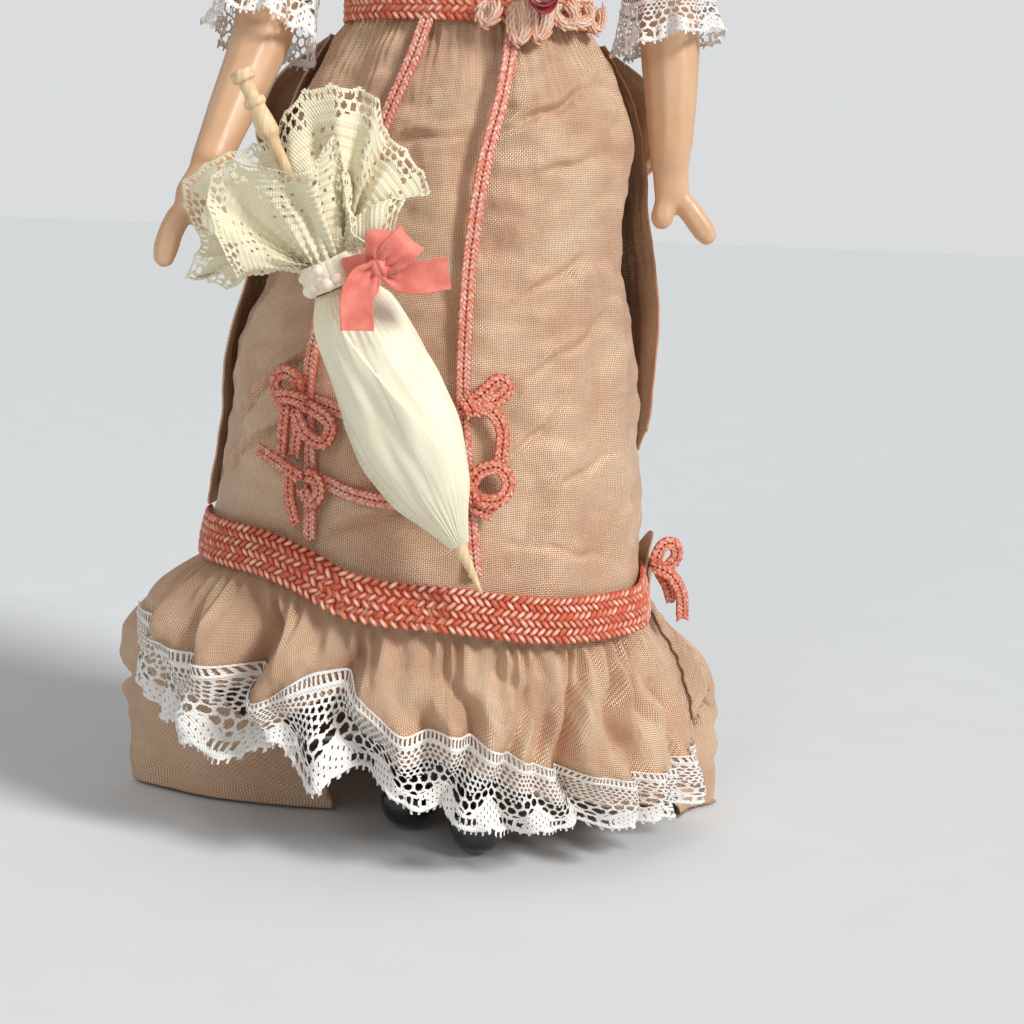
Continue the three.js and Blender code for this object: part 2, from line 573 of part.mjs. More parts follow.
// A point of the head: angle round from the front, polar angle down from the crown
function headPoint(angle, polar, grow) {
  const jaw = 1 - 0.27 * Math.max(0, -cosDeg(polar)) ** 1.5;
  const x = (HEAD_HALF.x + grow) * jaw * sinDeg(polar) * sinDeg(angle);
  const y = -(HEAD_HALF.y + grow) * jaw * sinDeg(polar) * cosDeg(angle);
  const up = (HEAD_HALF.z + grow) * cosDeg(polar);
  return V(x, y < 0 ? y - faceRelief(x, up) : y, HEAD_Z + up);
}

// Rings of the head lie closer together in front, where the face is
function headSolid(grow, around, down) {
  const rings = [];
  for (let k = 1; k < down; k += 1) {
    rings.push(Array.from({ length: around }, (_, i) => {
      const turn = (360 * i) / around;
      return headPoint(turn - 22 * sinDeg(turn), (180 * k) / down, grow);
    }));
  }
  return loft(headPoint(0, 0, grow), rings, headPoint(0, 180, grow));
}
part('head_shoulder_plate', join(headSolid(0, 22, 17), bodySlice(PLATE_Z + GAP, NECK_Z + 3, 6, 16)), PORCELAIN);

// Upswept hair: a cap from the crown to the hairline, and a coiled bun on top
const hairline = along(HAIRLINE);

function hairSurface(grow) {
  return (u, v) => {
    const round = Math.abs(((360 * u + 180) % 360) - 180);
    return headPoint(360 * u, HAIR.crownHole + (hairline(round) - HAIR.crownHole) * v, grow);
  };
}
part('hair_cap', sheet(hairSurface(2 * GAP + HAIR.thick), hairSurface(2 * GAP), 22, 5, true), BROWN_HAIR);

const bunBall = ball(1, V(0, BUN.y, HEAD_Z + BUN.rise), [BUN.wide, BUN.wide, BUN.high], 10);
part('hair_bun', cut(bunBall, headSolid(3 * GAP + HAIR.thick, 18, 12)), BROWN_HAIR);

// Bodice over the torso and the plate, open at the armholes, the waist and the neck
function bodiceSurface(u, v) {
  return bodyPoint(360 * u, BODICE.top + (WAIST_Z + GAP - BODICE.top) * v);
}

function bodice() {
  const armholes = [1, -1].map((sign) => barX(sign * BODICE.armholeX, sign * 30, ARMHOLE_RADIUS, SHOULDER_Z, 16));
  const shell = sheet(offset(bodiceSurface, BODICE.ease + CLOTH), offset(bodiceSurface, BODICE.ease), 22, 8, true);
  return cut(shell, ...armholes);
}
part('bodice', bodice(), SILK);

// Standing lace collar round the neck
function collarSurface(u, v) {
  const radius = COLLAR.radius + (1 - v) * (0.5 + 0.3 * sinDeg(COLLAR.waves * 360 * u));
  return V(radius * sinDeg(360 * u), -radius * cosDeg(360 * u), COLLAR.bottom + COLLAR.height * (1 - v));
}
part('collar_lace', evenSheet(collarSurface, LACE, 27, 1, true), WHITE_LACE);

// The skirt: a plain tube from the waist to the braid, with a few soft creases
const skirtLeft = along(SKIRT_LEFT);
const skirtRight = along(SKIRT_RIGHT);
const skirtFront = along(SKIRT_FRONT);
const skirtBack = along(SKIRT_BACK);
const braidLine = along(BRAID_LINE);

function skirtCrease(angle, z) {
  const fade = Math.min(1, Math.max(0, WAIST_Z - z) / 12);
  const drag = 0.35 * sinDeg(7 * angle + 6 * (z - 60)) * Math.exp(-(((angle + 30) / 40) ** 2));
  const sideFold = 0.5 * Math.exp(-(((angle - 62) / 9) ** 2));
  return fade * (drag + sideFold);
}

// A point at an angle and a height, moved out from the line of the skirt
function skirtPoint(angle, z, out) {
  const side = sinDeg(angle) > 0 ? skirtLeft(z) : skirtRight(z);
  const depth = cosDeg(angle) > 0 ? skirtFront(z) : skirtBack(z);
  const normal = V(depth * sinDeg(angle), -side * cosDeg(angle), 0).normalize();
  return V(side * sinDeg(angle), -depth * cosDeg(angle), z).addScaledVector(normal, out + skirtCrease(angle, z));
}

// A point of the skirt's front, given across and up
function onSkirt(x, z, out) {
  const side = x > 0 ? skirtLeft(z) : skirtRight(z);
  return skirtPoint(THREE.MathUtils.radToDeg(Math.asin(x / side)), z, out);
}

function skirtSurface(u, v) {
  const angle = 360 * u - 180;
  return skirtPoint(angle, WAIST_Z + (braidLine(angle) - WAIST_Z) * v, 0);
}
part('skirt', evenSheet(skirtSurface, CLOTH, 34, 7, true), SILK);

// Belt of flat braid over the seam of bodice and skirt
const BELT_OUT = GAP + BELT.thick + 0.25;

function beltSurface(u, v) {
  const z = WAIST_Z + BELT.above - BELT.width * v;
  return skirtPoint(360 * u, Math.min(z, WAIST_Z), BELT_OUT).setZ(z);
}
part('waist_belt', evenSheet(beltSurface, BELT.thick, 26, 2, true), CORAL);

// Ruched gimp and ribbon rose on the belt, to the left of the middle
function gimp() {
  const beads = [];
  for (let i = 0; i < GIMP.beads; i += 1) {
    const angle = GIMP.from + ((GIMP.to - GIMP.from) * (i + 0.5)) / GIMP.beads;
    const seat = skirtPoint(angle, WAIST_Z - GIMP.drop, BELT_OUT + GAP + GIMP.wide);
    seat.z += i % 2 ? 0.5 : -0.5;
    beads.push(ball(1, seat, [GIMP.wide, GIMP.wide, GIMP.high], 6));
  }
  return join(...beads);
}
part('waist_gimp', gimp(), CORAL);

function rose() {
  const seat = skirtPoint(ROSE.angle, WAIST_Z, BELT_OUT + 2 * GAP + 2 * GIMP.wide + ROSE.radius / 2).setZ(WAIST_Z + ROSE.rise);
  const petal = ROSE.radius * 0.62;
  const petals = Array.from({ length: ROSE.petals }, (_, i) => {
    const turn = (360 * i) / ROSE.petals;
    const at = seat.clone().add(V(sinDeg(turn), 0, cosDeg(turn)).multiplyScalar(0.55 * ROSE.radius));
    return ball(1, at, [petal, ROSE.radius / 2, petal], 6);
  });
  return join(...petals);
}
part('waist_rose', rose(), RED);

// Hem braid across the front, over the seam of skirt and flounce
function hemBraidSurface(u, v) {
  const angle = -BRAID.reach + 2 * BRAID.reach * u;
  const middle = braidLine(angle);
  return skirtPoint(angle, middle, GAP + BRAID.thick + 0.3 + 0.8 * v).setZ(middle + BRAID.width * (0.5 - v));
}
part('hem_braid', evenSheet(hemBraidSurface, BRAID.thick, 44, 1), CORAL);

// Below the braid a flounce flares out from the line of the skirt
function flarePoint(angle, z, flares, out) {
  const drop = Math.max(0, braidLine(angle) - BRAID.width / 2 - z);
  const sideFlare = sinDeg(angle) > 0 ? flares.left(drop) : flares.right(drop);
  const flare = sideFlare * sinDeg(angle) ** 2 + flares.middle(drop) * cosDeg(angle) ** 2;
  return skirtPoint(angle, z, flare + out);
}

// Front flounce and its lace share one surface
const flounceFlares = { left: along(FLOUNCE_LEFT), right: along(FLOUNCE_RIGHT), middle: along(FLOUNCE_FRONT) };
const laceHeading = along(LACE_HEADING);
const laceEdge = along(LACE_EDGE);

function flouncePoint(angle, z, out) {
  const fold = FLOUNCE_VALLEYS.reduce((sum, [at, depth, half]) => sum - depth * Math.exp(-(((angle - at) / half) ** 2)), 0.5);
  const drop = THREE.MathUtils.smoothstep(braidLine(angle) - BRAID.width / 2 - z, 0, 12);
  return flarePoint(angle, z, flounceFlares, out + drop * fold);
}

// A flounce's top edge lies under the braid, and its first row at the braid's lower edge
function flounceHeight(angle, v, rows, bottom) {
  const top = braidLine(angle) - GAP;
  const edge = braidLine(angle) - BRAID.width / 2;
  const row = v * rows;
  return row < 1 ? top + (edge - top) * row : edge + ((bottom - edge) * (row - 1)) / (rows - 1);
}

function frontFlounceSurface(u, v) {
  const angle = -FRONT_REACH + 2 * FRONT_REACH * u;
  const bottom = laceHeading(angle) - SILK_BELOW_HEADING;
  return flouncePoint(angle, flounceHeight(angle, v, FLOUNCE.rows, bottom), -0.35);
}
part('front_flounce', evenSheet(frontFlounceSurface, CLOTH, FLOUNCE.columns, FLOUNCE.rows), SILK);

function flounceLaceSurface(u, v) {
  const angle = -FRONT_REACH + 2 * FRONT_REACH * u;
  const top = laceHeading(angle);
  return flouncePoint(angle, top + (laceEdge(angle) - top) * v, LACE + GAP);
}
part('flounce_lace', evenSheet(flounceLaceSurface, LACE, FLOUNCE.columns, 2), WHITE_LACE);

// Train flounce behind, down to the floor
const trainFlares = { left: along(TRAIN_LEFT), right: along(TRAIN_RIGHT), middle: along(TRAIN_BACK) };

// Its side edges follow the front flounce, and it spreads out from there. One deep tuck runs in on the right.
function trainPoint(angle, z) {
  const drop = THREE.MathUtils.smoothstep(braidLine(angle) - z, 1, 14);
  const spread = THREE.MathUtils.smoothstep(Math.abs(angle), TRAIN.from, TRAIN.full);
  const deep = THREE.MathUtils.smoothstep(braidLine(angle) - z, 4, braidLine(angle));
  const tuck = deep * TRAIN_TUCK.depth * Math.exp(-(((angle - TRAIN_TUCK.angle) / TRAIN_TUCK.half) ** 2));
  const out = drop * spread * TRAIN.foldDepth * sinDeg(TRAIN.folds * angle) - tuck - 0.35;
  return flarePoint(angle, z, flounceFlares, out).lerp(flarePoint(angle, z, trainFlares, out), spread);
}

// Angles behind run on past 180 degrees from the left side to the right
function behind(from, u) {
  const angle = from + (360 - 2 * from) * u;
  return angle > 180 ? angle - 360 : angle;
}

function trainSurface(u, v) {
  const angle = behind(TRAIN.from, u);
  return trainPoint(angle, flounceHeight(angle, v, TRAIN.rows, 0));
}

function trainFlounce() {
  const floor = box(V(-60, -60, -5), V(60, 60, 0));
  return cut(evenSheet(trainSurface, CLOTH, TRAIN.columns, TRAIN.rows), floor);
}
part('train_flounce', trainFlounce(), SILK);

// Overskirt drape behind the skirt
const drapeLeft = along(DRAPE_LEFT);
const drapeRight = along(DRAPE_RIGHT);
const drapeBack = along(DRAPE_BACK);
const drapeHem = along(DRAPE_HEM);

function drapePoint(angle, z, out) {
  const side = sinDeg(angle) > 0 ? drapeLeft(z) : drapeRight(z);
  const flare = side * sinDeg(angle) ** 2 + drapeBack(z) * cosDeg(angle) ** 2;
  return skirtPoint(angle, z, GAP + CLOTH + flare + out);
}

function drapeSurface(u, v) {
  const angle = behind(DRAPE.from, u);
  const fold = DRAPE.foldDepth * v * (1 + sinDeg(DRAPE.folds * angle));
  return drapePoint(angle, DRAPE.top + (drapeHem(angle) - DRAPE.top) * v, fold);
}
part('back_drape', evenSheet(drapeSurface, CLOTH, 22, 6), SILK);

// Bustle puff over the top of the drape
const puffFlare = along(PUFF_FLARE);

function puffSurface(u, v) {
  const angle = behind(PUFF.from, u);
  const z = PUFF.top + (PUFF_Z - PUFF.top) * v;
  const fold = PUFF.foldDepth * Math.sin(Math.PI * v) * sinDeg(PUFF.folds * angle);
  return drapePoint(angle, z, GAP + CLOTH + DRAPE.foldDepth + puffFlare(z) + fold);
}
part('bustle_puff', evenSheet(puffSurface, CLOTH, 28, 5), SILK);

// Cords sewn on the skirt, and their bows

function cordAlong(route) {
  const path = route.map(([x, z]) => onSkirt(x, z, GAP + CORD.thick / 2));
  return sweep(path, { steps: 18, sides: 6, width: CORD.width / 2, depth: CORD.thick / 2, round: [false, false] });
}
part('cord_centre', cordAlong(CENTRE_CORD), CORAL);
part('cord_side', cordAlong(SIDE_CORD), CORAL);

function acrossAt(route, z) {
  return along(route.map(([x, height]) => [height, x]))(z);
}

// A cross cord runs between the two upright ones and sags a little
function crossCord({ side, centre, sag }) {
  const from = acrossAt(SIDE_CORD, side) + CORD.width / 2 + GAP;
  const to = acrossAt(CENTRE_CORD, centre) - CORD.width / 2 - GAP;
  const path = [0, 0.25, 0.5, 0.75, 1].map((t) => {
    const z = side + (centre - side) * t - sag * 4 * t * (1 - t);
    return onSkirt(from + (to - from) * t, z, GAP + CORD.thick / 2);
  });
  return sweep(path, { steps: 8, sides: 6, width: CORD.width / 2, depth: CORD.thick / 2, aside: V(0, 0, 1), round: [false, false] });
}
part('cord_cross_upper', crossCord(CROSS_UPPER), CORAL);
part('cord_cross_lower', crossCord(CROSS_LOWER), CORAL);

// Strands of a bow turn on edge a little as they leave the knot
function bowStrand(path) {
  return sweep(path, { steps: 7, sides: 5, width: CORD.width / 2, depth: CORD.thick / 2, aside: V(0, -1, 0.03) });
}

function bow({ knot, strands }) {
  const seat = ([across, up, lift]) => onSkirt(knot[0] + across, knot[1] + up, 2 * GAP + CORD.thick * 1.5 + 0.15 + lift);
  const middle = ball(1, seat([0, 0, 0.35]), [CORD.width, CORD.thick, 1.3], 6);
  return join(middle, ...strands.map((strand) => bowStrand([[0, 0, 0.1], ...strand].map(seat))));
}
for (const [name, design] of Object.entries(BOWS)) {
  part(name, bow(design), CORAL);
}

// Bow at the left side, where the braid ends
function sideBow() {
  const base = skirtPoint(SIDE_BOW.angle, SIDE_BOW.z, GAP + CORD.thick + SIDE_BOW.out);
  const at = (out, y, up) => base.clone().add(V(out, y, up));
  const strand = (path) => sweep(path, { steps: 7, sides: 5, width: CORD.width / 2, depth: CORD.thick / 2, aside: V(0, 1, 0) });
  return join(
    ball(1.3, at(0, 0, 0), [1, 1, 1], 6),
    strand([at(0, 0, 0), at(0.3, -1.4, 2.4), at(0.6, 0, 4.6), at(0.3, 1.4, 2.4), at(0, 0, 0.2)]),
    strand([at(0, 0, 0), at(1.2, 0.6, -2.6), at(2.6, 1.2, -6.6)]),
  );
}
part('side_bow', sideBow(), CORAL);

// The parasol, in its own frame: Z runs from the tip up to the knob, X to the lady's left

const tip = V(...PARASOL_TIP);
const knob = V(...PARASOL_KNOB);
const parasolLength = tip.distanceTo(knob);
const parasol = new THREE.Group();
parasol.position.copy(tip);
parasol.quaternion.setFromUnitVectors(V(0, 0, 1), knob.clone().sub(tip).normalize());
doll.add(parasol);

// A turned piece from an outline of [radius, length] round the stick
function turned(outline, sides) {
  const lathe = new THREE.LatheGeometry(outline.map(([r, s]) => new THREE.Vector2(r, s)), sides);
  return toGeometry(toSolid(lathe.rotateX(Math.PI / 2)));
}

function stickBore(fromS, toS) {
  const bore = new THREE.CylinderGeometry(STICK_RADIUS + GAP, STICK_RADIUS + GAP, toS - fromS, 10);
  return bore.rotateX(Math.PI / 2).translate(0, 0, (fromS + toS) / 2);
}

function stick() {
  const top = parasolLength;
  return turned([
    [0, 0], [0.15, 0], [0.62, CANOPY.start - 0.6], [STICK_RADIUS, CANOPY.start], [STICK_RADIUS, top - 8.4],
    [1.05, top - 7.6], [1.15, top - 5.8], [0.85, top - 4.2], [0.6, top - 3.4], [0.62, top - 2.6],
    [1.15, top - 2], [1.2, top - 0.5], [0.9, top], [0, top],
  ], 10);
}
part('parasol_stick', stick(), WOOD, parasol);

// The rolled canopy is wrapped in lengthwise folds round the stick
const canopyRadius = along(CANOPY_RADIUS);

function canopy() {
  const rings = [];
  const count = 9;
  const start = CANOPY.start + GAP;
  for (let k = 0; k <= count; k += 1) {
    const s = start + ((CANOPY.end - start) * k) / count;
    rings.push(Array.from({ length: 20 }, (_, i) => {
      const angle = 18 * i;
      const fold = CANOPY.foldDepth * Math.sin((Math.PI * k) / count) * sinDeg(CANOPY.folds * angle + 5 * s);
      const r = canopyRadius(s) * (1 + fold);
      return V(r * sinDeg(angle), -r * cosDeg(angle) * CANOPY.flat, s);
    }));
  }
  return cut(loft(V(0, 0, start), rings, V(0, 0, CANOPY.end)), stickBore(0, CANOPY.end + 5));
}
part('parasol_canopy', canopy(), CREAM, parasol);

// A beaded band ties the canopy and the lace at the neck
const BAND_START = CANOPY.end + GAP;
const BAND_END = BAND_START + BAND.length;

function neckBand() {
  const inner = STICK_RADIUS + GAP;
  return turned([
    [inner, BAND_START], [BAND.edge, BAND_START], [BAND.radius, (BAND_START + BAND_END) / 2], [BAND.edge, BAND_END],
    [inner, BAND_END], [inner, BAND_START],
  ], 14);
}
part('parasol_band', neckBand(), CREAM, parasol);

// The lace ruffle stands up from the band and spreads to both sides
function ruffleSurface(u, v) {
  const angle = 360 * u;
  const sideways = Math.abs(sinDeg(angle));
  const flare = RUFFLE.flareMiddle + (RUFFLE.flareSide - RUFFLE.flareMiddle) * sideways ** 1.3;
  const reach = RUFFLE.reach * (1 - v);
  const fold = RUFFLE.fold * (1 - v) * sinDeg(RUFFLE.folds * angle);
  const r = RUFFLE.root + reach * sinDeg(flare) + fold + RUFFLE.open * (1 - sideways) * (1 - v);
  const flat = cosDeg(angle) > 0 ? RUFFLE.front : RUFFLE.back;
  const depth = 1 + (flat - 1) * (1 - v);
  return V(r * sinDeg(angle), -r * cosDeg(angle) * depth, BAND_END + GAP + reach * cosDeg(flare));
}
part('parasol_lace', evenSheet(ruffleSurface, LACE, RUFFLE.columns, 3, true), CREAM, parasol);

// Satin ribbon bow on the left front of the band
function ribbonStrand(path, aside) {
  return sweep(path, { steps: 6, sides: 4, width: RIBBON.width / 2, depth: RIBBON.thick / 2, aside, round: [false, false] });
}

// Loops go out and turn back behind themselves, and the ribbon's width lies across them
function ribbonBow() {
  const at = ([x, y, s]) => V(RIBBON.x + x, RIBBON.y + y, CANOPY.end + 0.4 + s);
  const strand = (aside, ...points) => ribbonStrand(points.map(at), V(...aside));
  return join(
    ball(RIBBON.knot, at([0, 0, 0]), [1, 1, 1], 6),
    strand([0, 0, 1], [0, 0, 0], [-1.7, 0.75, 0.3], [-3.4, 1.1, 0.6]),
    strand([0.88, 0, -0.48], [0, 0, 0], [0.8, -1.1, 1.4], [1.7, -1.3, 3.1], [2, -0.4, 3.6], [1.5, 0.3, 2.4], [0.3, 0.4, 0.4]),
    strand([-0.35, 0, 0.94], [0, 0, 0], [1.4, -1.1, 0.5], [3.1, -1.2, 1.1], [3.6, -0.4, 1.3], [2.7, 0.3, 0.9], [0.4, 0.4, 0.1]),
    strand([0.85, 0.1, -0.5], [0, -0.3, 0], [-2.4, -1, -2], [-3.6, -1.2, -5]),
    strand([0.2, 0, 1], [0, -0.3, 0], [2.8, -0.6, -1.4], [6, -0.4, -1.8]),
  );
}
part('parasol_ribbon', ribbonBow(), CORAL, parasol);

export default doll;
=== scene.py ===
"""Looks of the miniature lady with a parasol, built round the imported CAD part."""

import math

import bpy
import numpy as np
from mathutils import Matrix, Vector


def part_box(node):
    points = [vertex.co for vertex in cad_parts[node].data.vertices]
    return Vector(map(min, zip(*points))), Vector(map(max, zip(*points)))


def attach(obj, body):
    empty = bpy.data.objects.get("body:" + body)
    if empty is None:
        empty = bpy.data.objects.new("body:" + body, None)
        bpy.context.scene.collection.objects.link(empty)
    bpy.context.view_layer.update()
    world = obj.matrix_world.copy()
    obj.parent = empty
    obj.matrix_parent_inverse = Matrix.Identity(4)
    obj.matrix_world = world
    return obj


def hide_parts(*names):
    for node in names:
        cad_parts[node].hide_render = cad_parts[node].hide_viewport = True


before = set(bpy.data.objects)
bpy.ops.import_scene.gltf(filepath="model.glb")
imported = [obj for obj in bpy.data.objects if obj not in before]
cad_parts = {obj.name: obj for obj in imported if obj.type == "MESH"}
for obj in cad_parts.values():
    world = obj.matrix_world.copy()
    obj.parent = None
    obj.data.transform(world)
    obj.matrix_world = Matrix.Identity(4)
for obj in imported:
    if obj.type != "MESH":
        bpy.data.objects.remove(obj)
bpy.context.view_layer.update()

# The figure is drawn in millimetres with its own axis upright through the waist: Z is up,
# the lady faces -Y and her left side lies at +X. SHIFT takes that to the row frame.
MM = 0.001
SHIFT = np.array([3.05, -0.7, 0.0])

# Heights and sizes, as the solids have them
WAIST_Z = 89
SHOULDER_Z = 119
SHOULDER_X = 17.6
HEAD_Z = 141
CORD_WIDTH = 1.5
BRAID_WIDTH = 4.8
THREAD = 0.19
CLOTH_THICKNESS = 0.25
RIBBON_THICKNESS = 0.16

rng = np.random.default_rng(7)


def along(pairs):
    """A smooth value through (place, value) knots, held at its ends."""
    x, y = np.array(sorted(pairs), float).T
    i = np.arange(len(x))
    before, after = np.maximum(i - 1, 0), np.minimum(i + 1, len(x) - 1)
    slope = (y[after] - y[before]) / (x[after] - x[before])

    def value(place):
        p = np.clip(place, x[0], x[-1])
        k = np.clip(np.searchsorted(x, p) - 1, 0, len(x) - 2)
        span = x[k + 1] - x[k]
        t = (p - x[k]) / span
        start = (2 * t**3 - 3 * t**2 + 1) * y[k] + (t**3 - 2 * t**2 + t) * span * slope[k]
        return start + (3 * t**2 - 2 * t**3) * y[k + 1] + (t**3 - t**2) * span * slope[k + 1]

    return value


def sin_deg(angle):
    return np.sin(np.deg2rad(angle))


def cos_deg(angle):
    return np.cos(np.deg2rad(angle))


def step(value, low, high):
    """0 below low, 1 above high, and smooth between."""
    t = np.clip((value - low) / (high - low), 0, 1)
    return t * t * (3 - 2 * t)


def bump(value, at, half):
    return np.exp(-(((value - at) / half) ** 2))


def unit(vectors):
    return vectors / np.maximum(np.linalg.norm(vectors, axis=-1, keepdims=True), 1e-9)


def stack(x, y, z):
    return np.stack(np.broadcast_arrays(x, y, z), axis=-1).astype(float)


def ring(radius, angle, height):
    """Points round the upright axis, their angle from the front."""
    return stack(radius * sin_deg(angle), -radius * cos_deg(angle), height)


def crinkle(a, b, shortest, longest, count=14, seed=1, sharp=0.0):
    """Seeded wrinkles of about unit height over a plane measured in millimetres."""
    own = np.random.default_rng(seed)
    total = 0
    for _ in range(count):
        turn = own.uniform(0, math.pi)
        wave = 2 * math.pi / own.uniform(shortest, longest)
        phase = wave * (a * math.cos(turn) + b * math.sin(turn)) + own.uniform(0, 6.28)
        total = total + (1 - sharp) * np.sin(phase) + sharp * (1 - 2 * np.abs(np.sin(phase / 2)))
    return total / math.sqrt(count / 2)


# Meshes


def read_all(items, name, width=3, kind=float):
    """One vector from each of a mesh's items, as rows."""
    values = np.zeros(width * len(items), kind)
    items.foreach_get(name, values)
    return values.reshape(-1, width)


def dress(mesh, material, uv):
    """Gives a mesh its material, smooth shading and a UV for each point."""
    layer = mesh.uv_layers.new(name="UVMap")
    corner = read_all(mesh.loops, "vertex_index", 1, int)[:, 0]
    layer.data.foreach_set("uv", uv[corner].ravel())
    mesh.materials.clear()
    mesh.materials.append(material)
    mesh.polygons.foreach_set("use_smooth", [True] * len(mesh.polygons))


def add_object(name, mesh):
    piece = bpy.data.objects.new(name, mesh)
    bpy.context.scene.collection.objects.link(piece)
    return piece


def mesh_piece(name, points, faces, material, body, uv):
    """A smooth mesh from points in the figure's millimetres, riding on a CAD body."""
    mesh = bpy.data.meshes.new(name)
    mesh.from_pydata(((points + SHIFT) * MM).tolist(), [], faces.tolist())
    dress(mesh, material, uv)
    piece = add_object(name, mesh)
    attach(piece, body)
    return piece


def stand_for(piece, node):
    """Hides the CAD node that a piece takes the place of."""
    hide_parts(node)
    return piece


def unit_grid(across, down):
    """u and v from 0 to 1 over a grid of that many cells."""
    return np.meshgrid(np.linspace(0, 1, across + 1), np.linspace(0, 1, down + 1))


def grid_faces(rows, columns):
    """Quads over a grid of points, row by row."""
    i, j = np.meshgrid(np.arange(columns - 1), np.arange(rows - 1))
    first = (j * columns + i).ravel()
    return np.stack([first, first + columns, first + columns + 1, first + 1], axis=1)


def trimmed(points, faces, uv):
    """The mesh without the points that no face uses."""
    used = np.unique(faces)
    return points[used], np.searchsorted(used, faces), uv[used]


def normals_of(points):
    """Outward normals of a grid of points that runs round (u) and down (v)."""
    across = np.gradient(points, axis=1)
    down = np.gradient(points, axis=0)
    return unit(np.cross(down, across))


def cloth_uv(points):
    """Places in the cloth, in millimetres along its mean row and column."""
    round_it = np.linalg.norm(np.diff(points, axis=1), axis=-1).mean(axis=0)
    down = np.linalg.norm(np.diff(points, axis=0), axis=-1).mean(axis=1)
    u = np.concatenate([[0], np.cumsum(round_it)])
    v = np.concatenate([[0], np.cumsum(down)])
    return np.stack(np.meshgrid(u, -v), axis=-1)


def thicken(piece, thickness):
    solid = piece.modifiers.new("thickness", "SOLIDIFY")
    solid.thickness = thickness * MM
    solid.offset = -1
    return piece


def cloth_grid(surface, across, down, keep=None):
    """Points, faces and UVs of cloth over surface(u, v): keep(middles) is true where there is cloth."""
    points = surface(*unit_grid(across, down))
    uv = cloth_uv(points).reshape(-1, 2)
    points = points.reshape(-1, 3)
    faces = grid_faces(down + 1, across + 1)
    if keep is None:
        return points, faces, uv
    return trimmed(points, faces[keep(points[faces].mean(axis=1))], uv)


def cloth(name, surface, across, down, material, body, thickness=CLOTH_THICKNESS, keep=None):
    """A sheet of cloth over surface(u, v), with u and v from 0 to 1."""
    points, faces, uv = cloth_grid(surface, across, down, keep)
    piece = mesh_piece(name, points, faces, material, body, uv)
    return thicken(piece, thickness) if thickness else piece


def lace(name, surface, length, width, pattern, material, body, cell=0.17, relief=0.12):
    """Open lace over surface(u, v): pattern(s, d) says where there is thread, and how high."""
    across, down = round(length / cell), round(width / cell)
    u, v = unit_grid(across, down)
    points = surface(u, v)
    s, d = u * length, v * width
    height = pattern(s, d)[1]
    points = points + normals_of(points) * (relief * height)[..., None]
    corner = (slice(None, -1), slice(None, -1))
    keep = pattern(s[corner] + cell / 2, d[corner] + cell / 2)[0].ravel()
    uv = np.stack([s, -d], axis=-1).reshape(-1, 2)
    points, faces, uv = trimmed(points.reshape(-1, 3), grid_faces(down + 1, across + 1)[keep], uv)
    return mesh_piece(name, points, faces, material, body, uv)


def sampled(at, places, rows):
    """Points read at some places along a line of them."""
    return np.stack([np.interp(at, places, rows[:, k]) for k in range(3)], axis=-1)


def smooth_path(points, count=200):
    """Even points along a centripetal Catmull-Rom curve through the given ones."""
    p = np.array(points, float)
    p = np.vstack([2 * p[0] - p[1], p, 2 * p[-1] - p[-2]])
    knots = np.concatenate([[0], np.cumsum(np.linalg.norm(np.diff(p, axis=0), axis=1) ** 0.5)])
    fine = []
    for k in range(1, len(p) - 2):
        t = np.linspace(knots[k], knots[k + 1], 24, endpoint=k == len(p) - 3)[:, None]

        def blend(a, b, i, j):
            return ((knots[j] - t) * a + (t - knots[i]) * b) / (knots[j] - knots[i])

        a1, a2, a3 = (blend(p[m], p[m + 1], m, m + 1) for m in (k - 1, k, k + 1))
        b1, b2 = blend(a1, a2, k - 1, k + 1), blend(a2, a3, k, k + 2)
        fine.append(blend(b1, b2, k, k + 1))
    fine = np.vstack(fine)
    reach = np.concatenate([[0], np.cumsum(np.linalg.norm(np.diff(fine, axis=0), axis=1))])
    even = np.linspace(0, reach[-1], count)
    return sampled(even, reach, fine)


class Strip:
    """A narrow strip along a path: s runs along it, w across it and h out of it."""

    def __init__(self, path, outward):
        self.path = path
        self.length = np.linalg.norm(np.diff(path, axis=0), axis=1).sum()
        self.place = np.linspace(0, self.length, len(path))
        tangent = unit(np.gradient(path, axis=0))
        out = np.broadcast_to(outward, path.shape)
        self.side = unit(np.cross(tangent, out))
        self.out = unit(np.cross(self.side, tangent))
        self.tangent = tangent

    def at(self, s, rows):
        return sampled(s, self.place, rows)

    def point(self, s, w, h):
        w, h = np.asarray(w)[..., None], np.asarray(h)[..., None]
        return self.at(s, self.path) + w * self.at(s, self.side) + h * self.at(s, self.out)


def rope_faces(rings, sides):
    """Quads round a tube."""
    k, i = np.meshgrid(np.arange(rings - 1), np.arange(sides), indexing="ij")
    after = (i + 1) % sides
    quads = np.stack([k * sides + i, k * sides + after, (k + 1) * sides + after, (k + 1) * sides + i], -1)
    return quads.reshape(-1, 4)


def tube_points(strip, s, w, h, wide, high, sides):
    """Rings of an oval tube along a strip."""
    turn = np.linspace(0, 2 * math.pi, sides, endpoint=False)
    s = s[:, None] + 0 * turn
    wide = np.broadcast_to(np.asarray(wide), s[:, 0].shape)[:, None]
    high = np.broadcast_to(np.asarray(high), s[:, 0].shape)[:, None]
    return strip.point(s, w + wide * np.cos(turn), h + high * np.sin(turn))


class Pieces:
    """Collects points and faces that make one mesh."""

    def __init__(self):
        self.points, self.faces, self.uv, self.count = [], [], [], 0

    def add(self, points, faces, uv):
        self.points.append(points.reshape(-1, 3))
        self.faces.append(faces + self.count)
        self.uv.append(uv.reshape(-1, 2))
        self.count += len(self.points[-1])

    def build(self, name, material, body):
        points, faces, uv = (np.concatenate(part) for part in (self.points, self.faces, self.uv))
        return mesh_piece(name, points, faces, material, body, uv)


